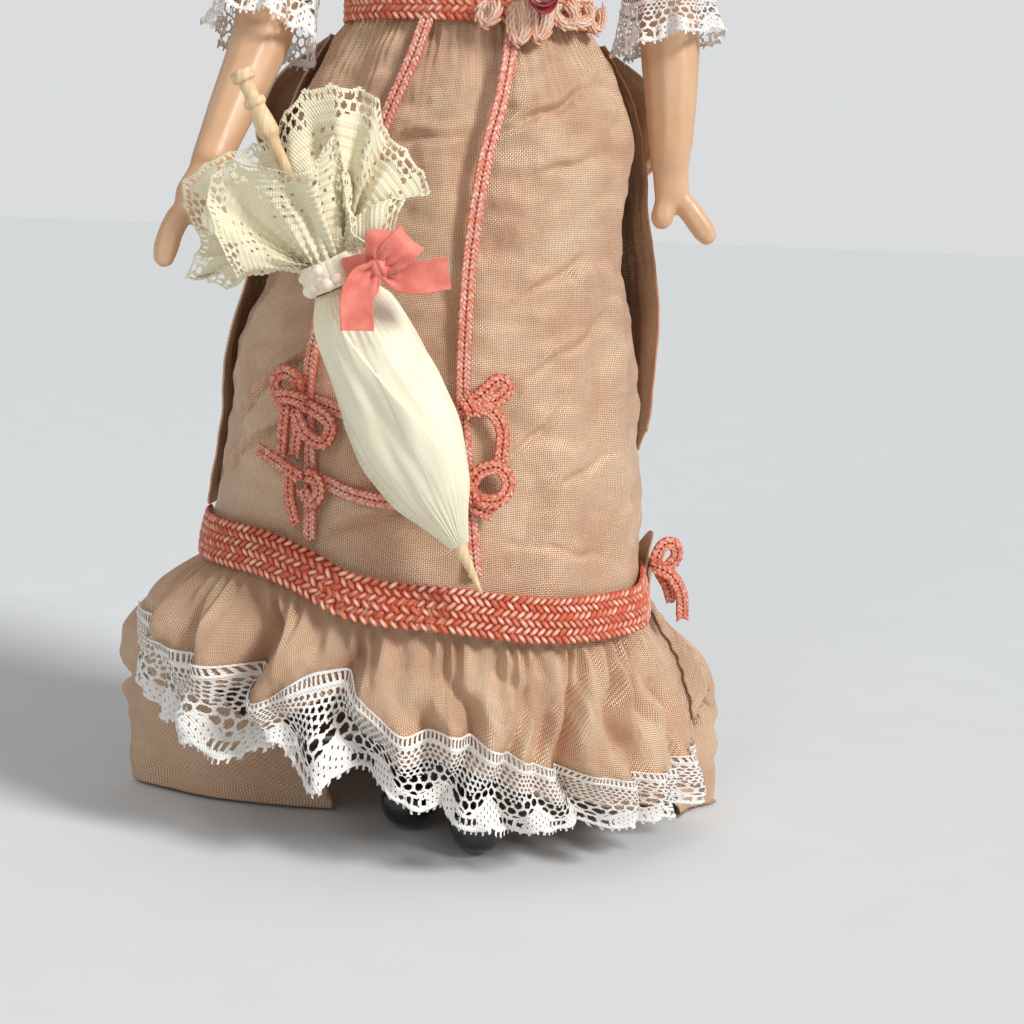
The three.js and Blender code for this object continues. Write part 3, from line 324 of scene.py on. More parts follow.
def add_tube(pieces, strip, w, h, wide, high, sides=8, steps=None, ends=True):
    steps = steps or max(6, int(strip.length / 0.35))
    s = np.linspace(0, strip.length, steps + 1)
    share = np.ones(steps + 1)
    if ends:
        share[0] = share[-1] = 0.05
        share[1] = share[-2] = 0.8
    points = tube_points(strip, s, w, h, wide * share, high * share, sides)
    uv = np.stack(np.meshgrid(np.linspace(0, 1, sides), s), axis=-1)
    pieces.add(points, rope_faces(steps + 1, sides), uv)


def leaf(rings=5, sides=6):
    """The part of a braid's strand that shows between two crossings, one unit long."""
    t = np.linspace(-1, 1, rings + 2)[:, None]
    turn = np.linspace(0, 2 * math.pi, sides, endpoint=False)[None]
    fat = np.maximum(1 - t**2, 0.0) ** 0.6
    x = 0.5 * t + 0 * turn
    y = 0.5 * fat * np.cos(turn)
    z = fat * np.sin(turn)
    return np.stack([x, y, z], axis=-1).reshape(-1, 3), rope_faces(rings + 2, sides)


def add_leaves(pieces, strip, w, h, slant, pitch, size, start=0.0, rings=5, sides=6):
    """A row of slanting strand ends along a strip: size is (length, width, height)."""
    shape, faces = leaf(rings, sides)
    s = np.arange(start + pitch / 2, strip.length, pitch)
    seat = strip.point(s, np.full(len(s), w), np.full(len(s), h))
    tangent, side, out = (strip.at(s, v) for v in (strip.tangent, strip.side, strip.out))
    lengthwise = cos_deg(slant) * tangent + sin_deg(slant) * side
    crosswise = np.cross(out, lengthwise)
    local = shape * np.array(size)
    frames = np.stack([lengthwise, crosswise, out], axis=1)
    wobble = 1 + 0.05 * rng.standard_normal((len(s), 1, 1))
    points = seat[:, None] + wobble * (local @ frames)
    index = (np.arange(len(s)) * len(shape))[:, None, None] + faces[None]
    uv = shape[None, :, :2] + rng.integers(0, 40, (len(s), 1, 2))
    pieces.add(points, index.reshape(-1, 4), uv)


def soutache(pieces, path, outward, rise=0.3):
    """Narrow braid of two ridges, each plaited."""
    strip = Strip(smooth_path(path, 240), outward)
    for ridge in (-1, 1):
        middle = ridge * CORD_WIDTH * 0.25
        add_tube(pieces, strip, middle, rise, CORD_WIDTH * 0.25, 0.34)
        for column in (-1, 1):
            w = middle + column * CORD_WIDTH * 0.11
            start = 0.13 * (column + ridge)
            add_leaves(pieces, strip, w, rise + 0.2, 30 * column, 0.52, (0.78, 0.36, 0.17), start, rings=3)


# Materials


def linear(red, green, blue):
    """An sRGB colour from 0 to 255 as Blender's linear one."""
    share = np.array([red, green, blue]) / 255
    value = np.where(share < 0.04045, share / 12.92, ((share + 0.055) / 1.055) ** 2.4)
    return (*(float(x) for x in value), 1.0)


# Colour of the painted highlight on the crowns of woven threads
GLINT = linear(255, 240, 210)


class Shader:
    """A node material with short ways to add to it."""

    def __init__(self, name, **settings):
        self.material = bpy.data.materials.new(name)
        self.material.use_nodes = True
        self.tree = self.material.node_tree
        self.surface = self.tree.nodes["Principled BSDF"]
        for socket, value in settings.items():
            self.surface.inputs[socket.replace("_", " ")].default_value = value
        self.place = self.node("ShaderNodeTexCoord")

    def node(self, kind, inputs=(), **settings):
        made = self.tree.nodes.new(kind)
        for key, value in settings.items():
            setattr(made, key, value)
        for key, value in dict(inputs).items():
            self.feed(made.inputs[key], value)
        return made

    def feed(self, socket, value):
        if isinstance(value, bpy.types.NodeSocket):
            self.tree.links.new(value, socket)
        else:
            socket.default_value = value

    def math(self, operation, a, b=0.0):
        return self.node("ShaderNodeMath", {0: a, 1: b}, operation=operation).outputs[0]

    def times(self, a, b):
        return self.math("MULTIPLY", a, b)

    def plus(self, a, b):
        return self.math("ADD", a, b)

    def sine(self, a):
        return self.math("SINE", a)

    def axes(self, source="UV"):
        return self.node("ShaderNodeSeparateXYZ", {0: self.place.outputs[source]}).outputs

    def across_and_down(self):
        return self.axes()[0], self.axes()[1]

    def stretched(self, scale, source="UV"):
        return self.node("ShaderNodeMapping", {0: self.place.outputs[source], 3: scale}).outputs[0]

    def noise(self, vector, scale, detail=3.0, roughness=0.5):
        inputs = {"Vector": vector, "Scale": scale, "Detail": detail, "Roughness": roughness}
        return self.node("ShaderNodeTexNoise", inputs).outputs["Fac"]

    def ramp(self, value, low, high):
        return self.node("ShaderNodeMapRange", {0: value, 1: low, 2: high}).outputs[0]

    def mix(self, factor, a, b):
        return self.node("ShaderNodeMix", {0: factor, 6: a, 7: b}, data_type="RGBA").outputs[2]

    def color(self, value):
        self.feed(self.surface.inputs["Base Color"], value)

    def rough(self, texture, spread, least):
        self.feed(self.surface.inputs["Roughness"], self.plus(self.times(texture, spread), least))

    def raise_by(self, height, millimetres, strength=1.0):
        inputs = {"Height": height, "Distance": millimetres * MM, "Strength": strength}
        self.feed(self.surface.inputs["Normal"], self.node("ShaderNodeBump", inputs).outputs[0])

    def weave(self, thread):
        """Plain weave over UVs in millimetres: which thread is on top, and how high it is."""
        u, v = self.across_and_down()
        warp = self.sine(self.times(u, math.pi / thread))
        weft = self.sine(self.times(v, math.pi / thread))
        over = self.ramp(self.times(warp, weft), -0.35, 0.35)
        tops = [self.grey(self.math("ABSOLUTE", run)) for run in (weft, warp)]
        return over, self.mix(over, *tops)

    def grey(self, value):
        return self.node("ShaderNodeCombineColor", {0: value, 1: value, 2: value}).outputs[0]


def woven(name, warp, weft, dark, thread=THREAD, slub=0.5, bump_by=0.05, depth=0.75, glow=0.3, **settings):
    """Plain-woven cloth: two thread colours, uneven threads, painted glints on the thread crowns and painted
    shade in the hollows between threads.
    """
    m = Shader(name, **settings)
    over, high = m.weave(thread)
    slubs = m.noise(m.stretched((0.25, 4, 1)), 1.1, 2)
    ends = m.noise(m.stretched((4, 0.25, 1)), 1.3, 2)
    cloud = m.noise(m.place.outputs["UV"], 0.12, 3)
    even = m.mix(over, weft, warp)
    uneven = m.mix(m.times(m.ramp(slubs, 0.35, 0.75), slub), even, warp)
    uneven = m.mix(m.times(m.ramp(ends, 0.4, 0.8), slub * 0.7), uneven, weft)
    level = m.node("ShaderNodeRGBToBW", {0: high}).outputs[0]
    # Painted shade: the dark colour fills the low gaps between the threads
    gaps = m.ramp(level, 0.85, 0.15)
    crown = m.ramp(level, 0.8, 1.0)
    # Painted highlight: GLINT laid on some of the thread crowns
    glint = m.times(crown, m.ramp(m.noise(m.place.outputs["UV"], 0.9, 2), 0.42, 0.62))
    bright = m.mix(m.times(glint, glow), uneven, GLINT)
    shaded = m.mix(m.times(gaps, depth), bright, dark)
    m.color(m.mix(m.times(m.ramp(cloud, 0.35, 0.65), 0.3 * depth), shaded, dark))
    m.rough(slubs, 0.3, 0.24)
    m.raise_by(high, bump_by, 0.9)
    return m.material


def threads(name, base, light, dark):
    """Shiny thread, as in braid: each strand has a painted highlight along its back and painted shade where
    it dives under.
    """
    m = Shader(name, Sheen_Weight=0.1)
    u, v = m.across_and_down()
    fibre = m.sine(m.times(v, 44.0))
    lengthwise, crosswise = (m.math("PINGPONG", m.math("FRACT", at), 0.5) for at in (u, v))
    tuft = m.noise(m.stretched((1.2, 9, 1)), 3.0, 2)
    strand = m.noise(m.place.outputs["UV"], 0.37, 1)
    # Painted highlight along each strand's back, brighter on some strands, and painted shade at its ends
    # where it dives under
    back = m.times(m.ramp(lengthwise, 0.42, 0.1), m.ramp(crosswise, 0.4, 0.05))
    shine = m.times(back, m.ramp(strand, 0.38, 0.6))
    ends = m.math("MAXIMUM", m.ramp(lengthwise, 0.34, 0.5), m.ramp(crosswise, 0.36, 0.5))
    body = m.mix(m.times(m.ramp(tuft, 0.4, 0.8), 0.4), base, dark)
    m.color(m.mix(ends, m.mix(shine, body, light), dark))
    m.rough(tuft, 0.25, 0.25)
    m.raise_by(m.plus(fibre, m.times(tuft, 1.5)), 0.02, 0.6)
    return m.material


def cotton(name, base, shade):
    """Lace thread: soft, with stitches worked across it."""
    m = Shader(name, Sheen_Weight=0.2)
    u, v = m.across_and_down()
    twist = m.sine(m.times(m.plus(u, m.times(v, 0.6)), 21.0))
    rows = m.sine(m.times(v, 17.0))
    fuzz = m.noise(m.place.outputs["UV"], 5.0, 4)
    height = m.plus(m.plus(m.times(twist, 0.5), m.times(rows, 0.3)), fuzz)
    # Painted shade: the shade colour fills the low parts of the twist and the rows
    m.color(m.mix(m.times(m.ramp(height, 0.9, -0.3), 0.6), base, shade))
    m.rough(fuzz, 0.2, 0.7)
    m.raise_by(height, 0.05, 0.8)
    return m.material


def ribbon_material(name, base, light, dark):
    """Satin ribbon: fine ribs across, a soft shine, darker clouds and a painted highlight on the threads
    that lie on top.
    """
    m = Shader(name, Sheen_Weight=0.25)
    over, high = m.weave(0.15)
    cloud = m.noise(m.place.outputs["UV"], 0.5, 3)
    # Painted highlight: the light colour on the threads that lie on top
    m.color(m.mix(m.times(over, 0.35), m.mix(m.ramp(cloud, 0.35, 0.7), base, dark), light))
    m.rough(cloud, 0.2, 0.3)
    m.raise_by(high, 0.03, 0.7)
    return m.material


# The smooth casting of head and hands
CASTING = {
    "Coat_Weight": 0.15,
    "Coat_Roughness": 0.3,
    "Subsurface_Weight": 0.12,
    "Subsurface_Radius": (1.0, 0.4, 0.2),
    "Subsurface_Scale": 0.001,
}


def skin_material():
    """Tinted casting with a faint mottle."""
    m = Shader("porcelain_tint", **CASTING)
    mottle = m.noise(m.place.outputs["Object"], 260.0, 3)
    fine = m.noise(m.place.outputs["Object"], 2600.0, 2)
    m.color(m.mix(m.ramp(mottle, 0.3, 0.7), linear(219, 178, 141), linear(210, 165, 126)))
    m.rough(mottle, 0.12, 0.36)
    m.raise_by(fine, 0.01, 0.4)
    return m.material


def shoe_material():
    """Black gloss paint below the ankle, tinted casting above it."""
    m = Shader("shoe_paint", Coat_Weight=0.4, Coat_Roughness=0.12)
    height = m.axes("Object")[2]
    brush = m.noise(m.place.outputs["Object"], 900.0, 3)
    edge = m.plus(height, m.times(brush, 0.0006))
    painted = m.ramp(edge, 0.0098, 0.0094)
    m.color(m.mix(painted, linear(213, 172, 131), (0.012, 0.012, 0.014, 1)))
    m.rough(brush, 0.15, 0.2)
    m.raise_by(brush, 0.02, 0.4)
    return m.material


def wood_material():
    m = Shader("turned_wood")
    grain = m.noise(m.stretched((1, 1, 0.06), "Object"), 2600.0, 5, 0.65)
    pores = m.noise(m.stretched((1, 1, 0.12), "Object"), 9000.0, 2)
    m.color(m.mix(m.ramp(grain, 0.35, 0.7), linear(242, 218, 176), linear(208, 170, 122)))
    m.rough(pores, 0.3, 0.4)
    m.raise_by(m.plus(grain, pores), 0.03, 0.6)
    return m.material


def hair_material():
    m = Shader("mohair", Sheen_Weight=0.2)
    across = m.axes()[0]
    strand = m.noise(m.stretched((9, 0.35, 1)), 2.2, 4, 0.7)
    tone = m.noise(m.place.outputs["UV"], 0.25, 2)
    warm = m.mix(tone, linear(128, 80, 44), linear(98, 58, 30))
    m.color(m.mix(m.ramp(strand, 0.3, 0.72), linear(60, 34, 18), warm))
    m.rough(strand, 0.2, 0.38)
    m.raise_by(m.plus(strand, m.times(m.sine(m.times(across, 30.0)), 0.2)), 0.09, 0.9)
    return m.material


def pearl_material():
    m = Shader("pearl", Coat_Weight=1.0, Coat_Roughness=0.08, Sheen_Weight=0.2)
    cloud = m.noise(m.place.outputs["Object"], 1300.0, 2)
    m.color(m.mix(m.ramp(cloud, 0.35, 0.65), linear(252, 242, 224), linear(240, 214, 182)))
    m.rough(cloud, 0.15, 0.22)
    m.raise_by(cloud, 0.01, 0.3)
    return m.material


def steel_material():
    m = Shader("drawn_wire", Metallic=1.0)
    drawn = m.noise(m.stretched((6, 6, 0.3), "Object"), 1500.0, 3)
    m.color(m.mix(drawn, (0.42, 0.42, 0.43, 1), (0.62, 0.61, 0.6, 1)))
    m.rough(drawn, 0.25, 0.3)
    m.raise_by(drawn, 0.01, 0.4)
    return m.material


# Woven cloths: warp and weft colours, then the colour of the painted shade in the thread gaps, which also
# tints random darker clouds
SILK_WARP, SILK_WEFT, SILK_DARK = linear(254, 245, 217), linear(250, 198, 147), linear(172, 84, 32)
SILK_LUSTRE = {"Metallic": 0.3, "Sheen_Weight": 0.1, "Sheen_Roughness": 0.35}
SILK = woven("shot_silk", SILK_WARP, SILK_WEFT, SILK_DARK, depth=0.95, glow=1.0, bump_by=0.1, **SILK_LUSTRE)
MUSLIN = woven("muslin", linear(236, 226, 206), linear(222, 208, 184), linear(176, 158, 130), thread=0.26)
LAWN_WARP, LAWN_WEFT, LAWN_DARK = linear(255, 253, 238), linear(252, 246, 220), linear(232, 214, 166)
LAWN = woven("cream_lawn", LAWN_WARP, LAWN_WEFT, LAWN_DARK, thread=0.16, slub=0.2, bump_by=0.03)
# Braid threads: base colour, then the painted highlight and the painted shade
CORAL = threads("coral_thread", linear(233, 124, 92), linear(255, 214, 192), linear(178, 66, 42))
HEM_CORAL = threads("coral_braid", linear(220, 102, 64), linear(255, 220, 196), linear(142, 40, 12))
CORD = threads("coral_cord", linear(240, 146, 116), linear(255, 240, 230), linear(206, 92, 66))
PEACH = threads("peach_gimp", linear(246, 192, 154), linear(255, 246, 236), linear(208, 126, 88))
# Ribbons: base colour, the painted highlight on the top threads, and a darker colour in random clouds
CORAL_SATIN = (linear(242, 132, 112), linear(255, 176, 156), linear(216, 90, 74))
CORAL_RIBBON = ribbon_material("coral_ribbon", *CORAL_SATIN)
RED_RIBBON = ribbon_material("red_ribbon", linear(168, 22, 44), linear(196, 48, 66), linear(112, 8, 26))
# Lace thread: base colour and the colour of its painted shade
WHITE_LACE = cotton("white_lace", linear(246, 243, 238), linear(218, 210, 200))
CREAM_LACE = cotton("cream_lace", linear(243, 235, 205), linear(220, 205, 160))
SKIN = skin_material()
SHOE = shoe_material()
WOOD = wood_material()
HAIR = hair_material()
PEARL = pearl_material()
STEEL = steel_material()


# The skirt's own line: half widths and depths by height

skirt_left = along([(0, 23), (26, 21.6), (43, 20.6), (54, 19.6), (65, 17.6), (76, 18), (82, 16.2),
                    (WAIST_Z, 11.9)])
skirt_right = along([(0, 29), (26, 27.6), (38, 26), (46, 24.8), (52, 24.2), (57, 22.6), (61, 20.3),
                     (66, 19.2), (76, 18), (82, 16), (WAIST_Z, 11.9)])
skirt_front = along([(0, 19), (26, 16.5), (45, 15), (65, 13.5), (80, 11.5), (WAIST_Z, 8.7)])
skirt_back = along([(0, 22), (30, 19), (45, 17), (65, 15), (80, 12.5), (WAIST_Z, 8.7)])
braid_knots = along([(-180, 31), (-90, 32.8), (-50, 32.8), (-34, 31.4), (-22, 29.3), (0, 28.4), (32, 27),
                     (73, 27.3), (180, 31)])
MM_PER_DEGREE = 0.35


def wrapped(angle):
    return (np.asarray(angle) + 180) % 360 - 180


def braid_line(angle):
    return braid_knots(wrapped(angle))


def skirt_crease(angle, z):
    fade = np.clip((WAIST_Z - z) / 12, 0, 1)
    drag = 0.35 * sin_deg(7 * angle + 6 * (z - 60)) * bump(wrapped(angle), -30, 40)
    return fade * (drag + 0.5 * bump(wrapped(angle), 62, 9))


def skirt_normal(angle, z):
    side = np.where(sin_deg(angle) > 0, skirt_left(z), skirt_right(z))
    depth = np.where(cos_deg(angle) > 0, skirt_front(z), skirt_back(z))
    return side, depth, unit(stack(depth * sin_deg(angle), -side * cos_deg(angle), 0 * z))


def skirt_point(angle, z, out=0.0):
    """A point at an angle from the front and a height, moved out from the line of the skirt."""
    angle, z = np.broadcast_arrays(np.asarray(angle, float), np.asarray(z, float))
    side, depth, normal = skirt_normal(angle, z)
    on_line = stack(side * sin_deg(angle), -depth * cos_deg(angle), z)
    return on_line + (out + skirt_crease(angle, z))[..., None] * normal


def on_skirt(x, z, out):
    """A point of the skirt's front, given across and up."""
    side = np.where(np.asarray(x) > 0, skirt_left(z), skirt_right(z))
    return skirt_point(np.rad2deg(np.arcsin(np.clip(x / side, -1, 1))), z, out)


def skirt_outward(points):
    """Level and away from the skirt, which is wider than it is deep."""
    return unit(points * np.array([1, 1.7, 0]))


# Pulled creases of the silk, as (across, height, half length, rise per mm, depth)
DRAG_LINES = [
    (10, 79, 7, 0.35, 0.34), (12, 73.5, 4, 0.25, 0.24), (-4, 76, 5, 0.1, 0.2), (11, 62, 4.5, 0.45, 0.22),
    (13, 55, 6, 0.5, 0.2), (8, 46, 4, 0.9, 0.18), (14, 42, 5, 0.3, 0.2), (-18, 51, 7, 0.75, 0.4),
    (-20, 44, 6, 0.6, 0.34), (-7, 37, 7, 0.5, 0.24), (12, 34, 6, -0.2, 0.18), (-16, 60, 6, -0.5, 0.3),
]


def drag_lines(across, z):
    total = 0
    for x, height, half, rise, depth in DRAG_LINES:
        beside = (z - height) - rise * (across - x) + 0.25 * np.sin((across - x) * 0.9)
        fold = 0.5 * bump(beside, 1.0, 0.7) - bump(beside, 0, 0.5)
        total = total + 2.4 * depth * bump(across, x, half) * fold
    return total


def silk_relief(angle, z):
    """Soft folds and fine creases of the skirt's silk."""
    across = wrapped(angle) * MM_PER_DEGREE
    folds = 0.34 * crinkle(across, 0.14 * z, 6, 13, seed=5)
    creases = 0.22 * crinkle(across * 0.7, 1.1 * z, 3, 9, seed=3, sharp=0.4)
    fine = 0.035 * crinkle(across, z, 0.9, 2.4, seed=4, sharp=0.6)
    gathers = 0.2 * np.sin(across * 4.4 + 1.5 * np.sin(across)) * bump(z, WAIST_Z, 7)
    calm = np.clip((WAIST_Z - z) / 3, 0, 1)
    return calm * (folds + creases + fine + drag_lines(across, z)) + gathers


def skirt_surface(u, v):
    angle = 360 * u - 180
    z = WAIST_Z + (braid_line(angle) - 1.5 - WAIST_Z) * v
    lower = step(z, braid_line(angle) + 6, braid_line(angle) + 1)
    return skirt_point(angle, z, -0.1 + (1 - lower) * silk_relief(angle, z))


skirt = cloth("skirt_silk", skirt_surface, 460, 230, SILK, "torso", thickness=0)
stand_for(skirt, "skirt")

# The flounces flare below the braid by their drop from it

flounce_left = along([(0, 0), (3, 1), (8, 2.8), (16, 4.8), (26, 5.2)])
flounce_right = along([(0, 0.2), (3.4, 4), (7.4, 5.5), (16, 3.7), (24, 1.8)])
flounce_middle = along([(0, 0), (4, 0.9), (10, 1.8), (24, 2.4)])
train_left = along([(0, 0), (3, 3), (8, 8), (16, 9.8), (26, 10.2)])
train_right = along([(0, 0.2), (2, 2.8), (5.5, 6.8), (11, 11.6), (17, 13), (24.5, 11.8), (31, 11)])
train_middle = along([(0, 0.2), (10, 4.6), (29, 8.4)])
lace_heading = along([(-90, 24), (-62, 21.8), (-44, 20), (-41, 17.6), (-25, 21.6), (-9, 15.9), (0, 16.3),
                      (25, 12.3), (54, 9.9), (90, 10.3)])
lace_edge = along([(-90, 14.4), (-53, 10.2), (-45, 10.2), (-37, 13.3), (-26, 8.2), (-19, 10.8), (-8, 8.2),
                   (10, 5.2), (30, 5.3), (50, 4.6), (90, 4.4)])
# Valleys between the flounce's folds, as (angle, depth, half width)
VALLEYS = [(-77, 1.6, 4), (-62, 0.8, 3), (-46, 4.4, 5), (-33, 0.8, 3), (-20, 2.8, 4), (-7, 0.9, 3),
           (3, 1.9, 3), (16, 1.5, 3), (25, 0.8, 2.5), (34, 2.6, 3.2), (51, 1.8, 3.2), (61, 0.8, 2.5),
           (70, 2, 4)]
# Half the front flounce's sweep, and where the train takes over, in degrees from the front
FRONT_REACH = 91.6
TRAIN_FROM = 92.4
TUCK = {"angle": -122, "depth": 19, "half": 14}
RETURN = {"depth": 17, "half": 8}
NOTCH = {"angle": -110, "half": 14, "z": 13.4, "high": 1.1, "depth": 1.6}
RIDGE = {"angle": -106, "height": 3.2, "half": 7}


def below_braid(angle, z):
    return np.maximum(0, braid_line(angle) - BRAID_WIDTH / 2 - z)


def flare(angle, z, left, right, middle):
    drop = below_braid(angle, z)
    side = np.where(sin_deg(angle) > 0, left(drop), right(drop))
    return side * sin_deg(angle) ** 2 + middle(drop) * cos_deg(angle) ** 2


def flounce_folds(angle, z):
    """Gathers that fan out from the braid into a few broad folds."""
    drop = below_braid(angle, z)
    bent = angle + 3.5 * np.sin(drop * 0.42 + angle * 0.09)
    valleys = 1.2 - 1.5 * sum(depth * bump(bent, at, half) for at, depth, half in VALLEYS)
    across = angle * 0.4
    wave = np.sin(across * 3.4 + 1.8 * np.sin(across * 0.83) + 0.05 * drop * np.sin(across * 1.7))
    gathers = 0.5 * wave * step(drop, 0, 1.6) * np.exp(-np.maximum(drop - 2, 0) / 3.5)
    loose = 0.45 * crinkle(across, 0.3 * z, 3, 7, seed=11) * step(drop, 1, 6)
    fine = 0.05 * crinkle(across, 0.7 * z, 0.9, 2.6, seed=12, sharp=0.5) * step(drop, 0, 2)
    return step(drop, 0, 7) * np.maximum(valleys, -5) + gathers + loose + fine


def flounce_point(angle, z, out):
    spread = flare(angle, z, flounce_left, flounce_right, flounce_middle)
    return skirt_point(angle, z, spread + flounce_folds(angle, z) + out)


def front_flounce_surface(u, v):
    angle = FRONT_REACH * (2 * u - 1)
    top = braid_line(angle) - 0.3
    return flounce_point(angle, top + (lace_heading(angle) - 3.4 - top) * v, -0.4)


def flounce_lace_surface(u, v):
    angle = FRONT_REACH * (2 * u - 1)
    top = lace_heading(angle)
    z = top + (lace_edge(angle) - top) * v
    frill = 0.35 * v**2 * np.sin(angle * 0.62) + 0.12 * v * crinkle(angle * 0.4, z, 2, 5, seed=13)
    return flounce_point(angle, z, 0.15 + frill)


front_flounce = cloth("front_flounce_silk", front_flounce_surface, 620, 110, SILK, "torso")
stand_for(front_flounce, "front_flounce")


def train_surface(u, v):
    angle = TRAIN_FROM + (360 - 2 * TRAIN_FROM) * u
    aside = wrapped(angle)
    heap = bump(aside, 99, 8)
    top = braid_line(angle) - 0.3 + 5.5 * heap
    z = top + (0.3 - top) * v
    drop = step(braid_line(angle) - z, 1, 14)
    spread = step(np.abs(aside), TRAIN_FROM, 101)
    front = flare(angle, z, flounce_left, flounce_right, flounce_middle)
    back = flare(angle, z, train_left, train_right, train_middle)
    across = angle * 0.45
    folds = 1.2 * sin_deg(26 * aside) * spread + 0.25 * crinkle(across, 0.15 * z, 3, 8, seed=21)
    deep = step(braid_line(angle) - z, 4, braid_line(angle))
    tuck = deep * TUCK["depth"] * bump(aside, TUCK["angle"], TUCK["half"])
    tuck = tuck + deep**2 * RETURN["depth"] * bump(aside, -TRAIN_FROM, RETURN["half"])
    tuck = tuck - deep * RIDGE["height"] * bump(aside, RIDGE["angle"], RIDGE["half"])
    notch = bump(aside, NOTCH["angle"], NOTCH["half"]) * bump(z, NOTCH["z"], NOTCH["high"])
    tuck = tuck + NOTCH["depth"] * notch
    crumple = 0.6 * deep * crinkle(across, 0.5 * z, 4, 9, seed=23, sharp=0.2) * bump(aside, -104, 12)
    crumple = crumple + 0.3 * deep * crinkle(across, z, 2.4, 5, seed=24, sharp=0.5)
    pleats = 0.9 * deep * sin_deg(40 * aside + 6 * z) * bump(aside, -108, 14)
    gathers = 0.35 * np.sin(across * 3.1 + np.sin(across)) * np.exp(-below_braid(angle, z) / 4)
    fine = 0.05 * crinkle(across, 0.7 * z, 1, 3, seed=22, sharp=0.5)
    relief = drop * (folds + gathers + fine) + crumple + pleats - tuck + 2.6 * heap * (1 - v) ** 3
    return skirt_point(angle, z, front + (back - front) * spread + relief - 0.4)


train = cloth("train_flounce_silk", train_surface, 620, 120, SILK, "torso")
stand_for(train, "train_flounce")


def fray(pieces, surface, line, count, reach):
    """Loose thread ends along a cloth's raw edge, from one (u, v) to another."""
    start, end = np.array(line, float)
    for share in np.sort(rng.random(count)):
        u, v = start + (end - start) * share
        inwards = np.array([[u, v], [u + 0.004 * (0.5 - u), v - 0.01 * v]])
        seat, inside = surface(inwards[:, :1], inwards[:, 1:])[:, 0]
        away = unit(seat - inside)
        curl = rng.standard_normal((3, 3)) * 0.35
        extent = reach * (0.3 + rng.random())
        path = seat + extent * (np.array([[-0.1], [0.4], [1]]) * away + curl * np.array([[0], [0.4], [1]]))
        path[:, 2] = np.maximum(path[:, 2], 0.15)
        thread = Strip(smooth_path(path, 12), np.array([0.3, -1, 0.2]))
        add_tube(pieces, thread, 0, 0, 0.05, 0.05, sides=5, steps=8)


loose = Pieces()
fray(loose, train_surface, ((0, 0.35), (0, 1)), 60, 1.0)
fray(loose, train_surface, ((1, 0.5), (1, 1)), 46, 0.9)
fray(loose, train_surface, ((0, 1), (0.05, 1)), 22, 0.9)


def seam_surface(u, v):
    """The turned side seam of the train, down its right edge."""
    drop = 1.2 + (17 - 3 * v) * u
    angle = 96.5 + (2.6 - 0.8 * u) * v
    place = (angle - TRAIN_FROM) / (360 - 2 * TRAIN_FROM)
    seat = train_surface(place, (drop + 1.5) / (braid_line(angle) + 1.5))
    out = skirt_outward(seat)
    ripple = 0.2 + 0.3 * np.sin(math.pi * v) + 0.12 * crinkle(14 * u, 2 * v, 1.2, 3, seed=25)
    return seat + ripple[..., None] * out


seam = cloth("train_seam_silk", seam_surface, 80, 14, SILK, "torso")
fray(loose, seam_surface, ((0.3, 0), (1, 0)), 26, 0.7)
fray(loose, seam_surface, ((0.99, 0), (0.99, 1)), 30, 1.1)
loose.build("train_loose_threads", SILK, "torso")

# Overskirt drape with stitched edges, and the bustle puff over it

drape_left = along([(38, -1.2), (44, -0.9), (49, 0), (55, 1.1), (60, 2.1), (64, 2.2), (69, 1.3), (76, 0.3),
                    (87, 0.3)])
drape_right = along([(36, -0.9), (45, -0.7), (50, -0.3), (57, 0.4), (61, 1.6), (66, 2.2), (74, 1.2),
                     (80, 0.4), (87, 0.3)])
drape_back = along([(38, 2.4), (60, 2), (80, 1.4), (87, 0.4)])
drape_hem = along([(-180, 40.6), (-97, 35), (-94, 36.2), (94, 45), (99, 42.6), (180, 40.6)])
puff_flare = along([(72, 0), (76, 4), (82, 4.6), (87, -0.3)])
DRAPE = {"from": 94, "top": 86.6}
PUFF = {"from": 112, "top": 86.6, "bottom": 72}


def drape_point(angle, z, out):
    side = np.where(sin_deg(angle) > 0, drape_left(z), drape_right(z))
    spread = side * sin_deg(angle) ** 2 + drape_back(z) * cos_deg(angle) ** 2
    return skirt_point(angle, z, 1.1 + spread + out)


def drape_surface(u, v):
    angle = DRAPE["from"] + (360 - 2 * DRAPE["from"]) * u
    z = DRAPE["top"] + (drape_hem(wrapped(angle)) - DRAPE["top"]) * v
    across = angle * 0.34
    folds = 0.5 * v * (1 + sin_deg(9 * wrapped(angle))) + 0.3 * v * crinkle(across, 0.1 * z, 5, 12, seed=31)
    curl = 0.3 * bump(wrapped(angle), -DRAPE["from"], 4) + 0.6 * bump(wrapped(angle), DRAPE["from"], 4)
    fine = 0.08 * crinkle(across, 0.6 * z, 1.4, 5, seed=32, sharp=0.5)
    return drape_point(angle, z, folds + curl * v + fine)


drape = cloth("back_drape_silk", drape_surface, 420, 200, SILK, "torso")
stand_for(drape, "back_drape")


def puff_surface(u, v):
    angle = PUFF["from"] + (360 - 2 * PUFF["from"]) * u
    z = PUFF["top"] + (PUFF["bottom"] - PUFF["top"]) * v
    swell = np.sin(math.pi * v)
    gathers = 0.55 * swell * sin_deg(17 * angle) + 0.3 * (1 - swell) * sin_deg(61 * angle)
    creases = 0.22 * crinkle(angle * 0.36, 0.5 * z, 1.6, 5, seed=33, sharp=0.4) * swell
    return drape_point(angle, z, 1.5 + puff_flare(z) + gathers + creases)


puff = cloth("bustle_puff_silk", puff_surface, 460, 130, SILK, "torso")
stand_for(puff, "bustle_puff")


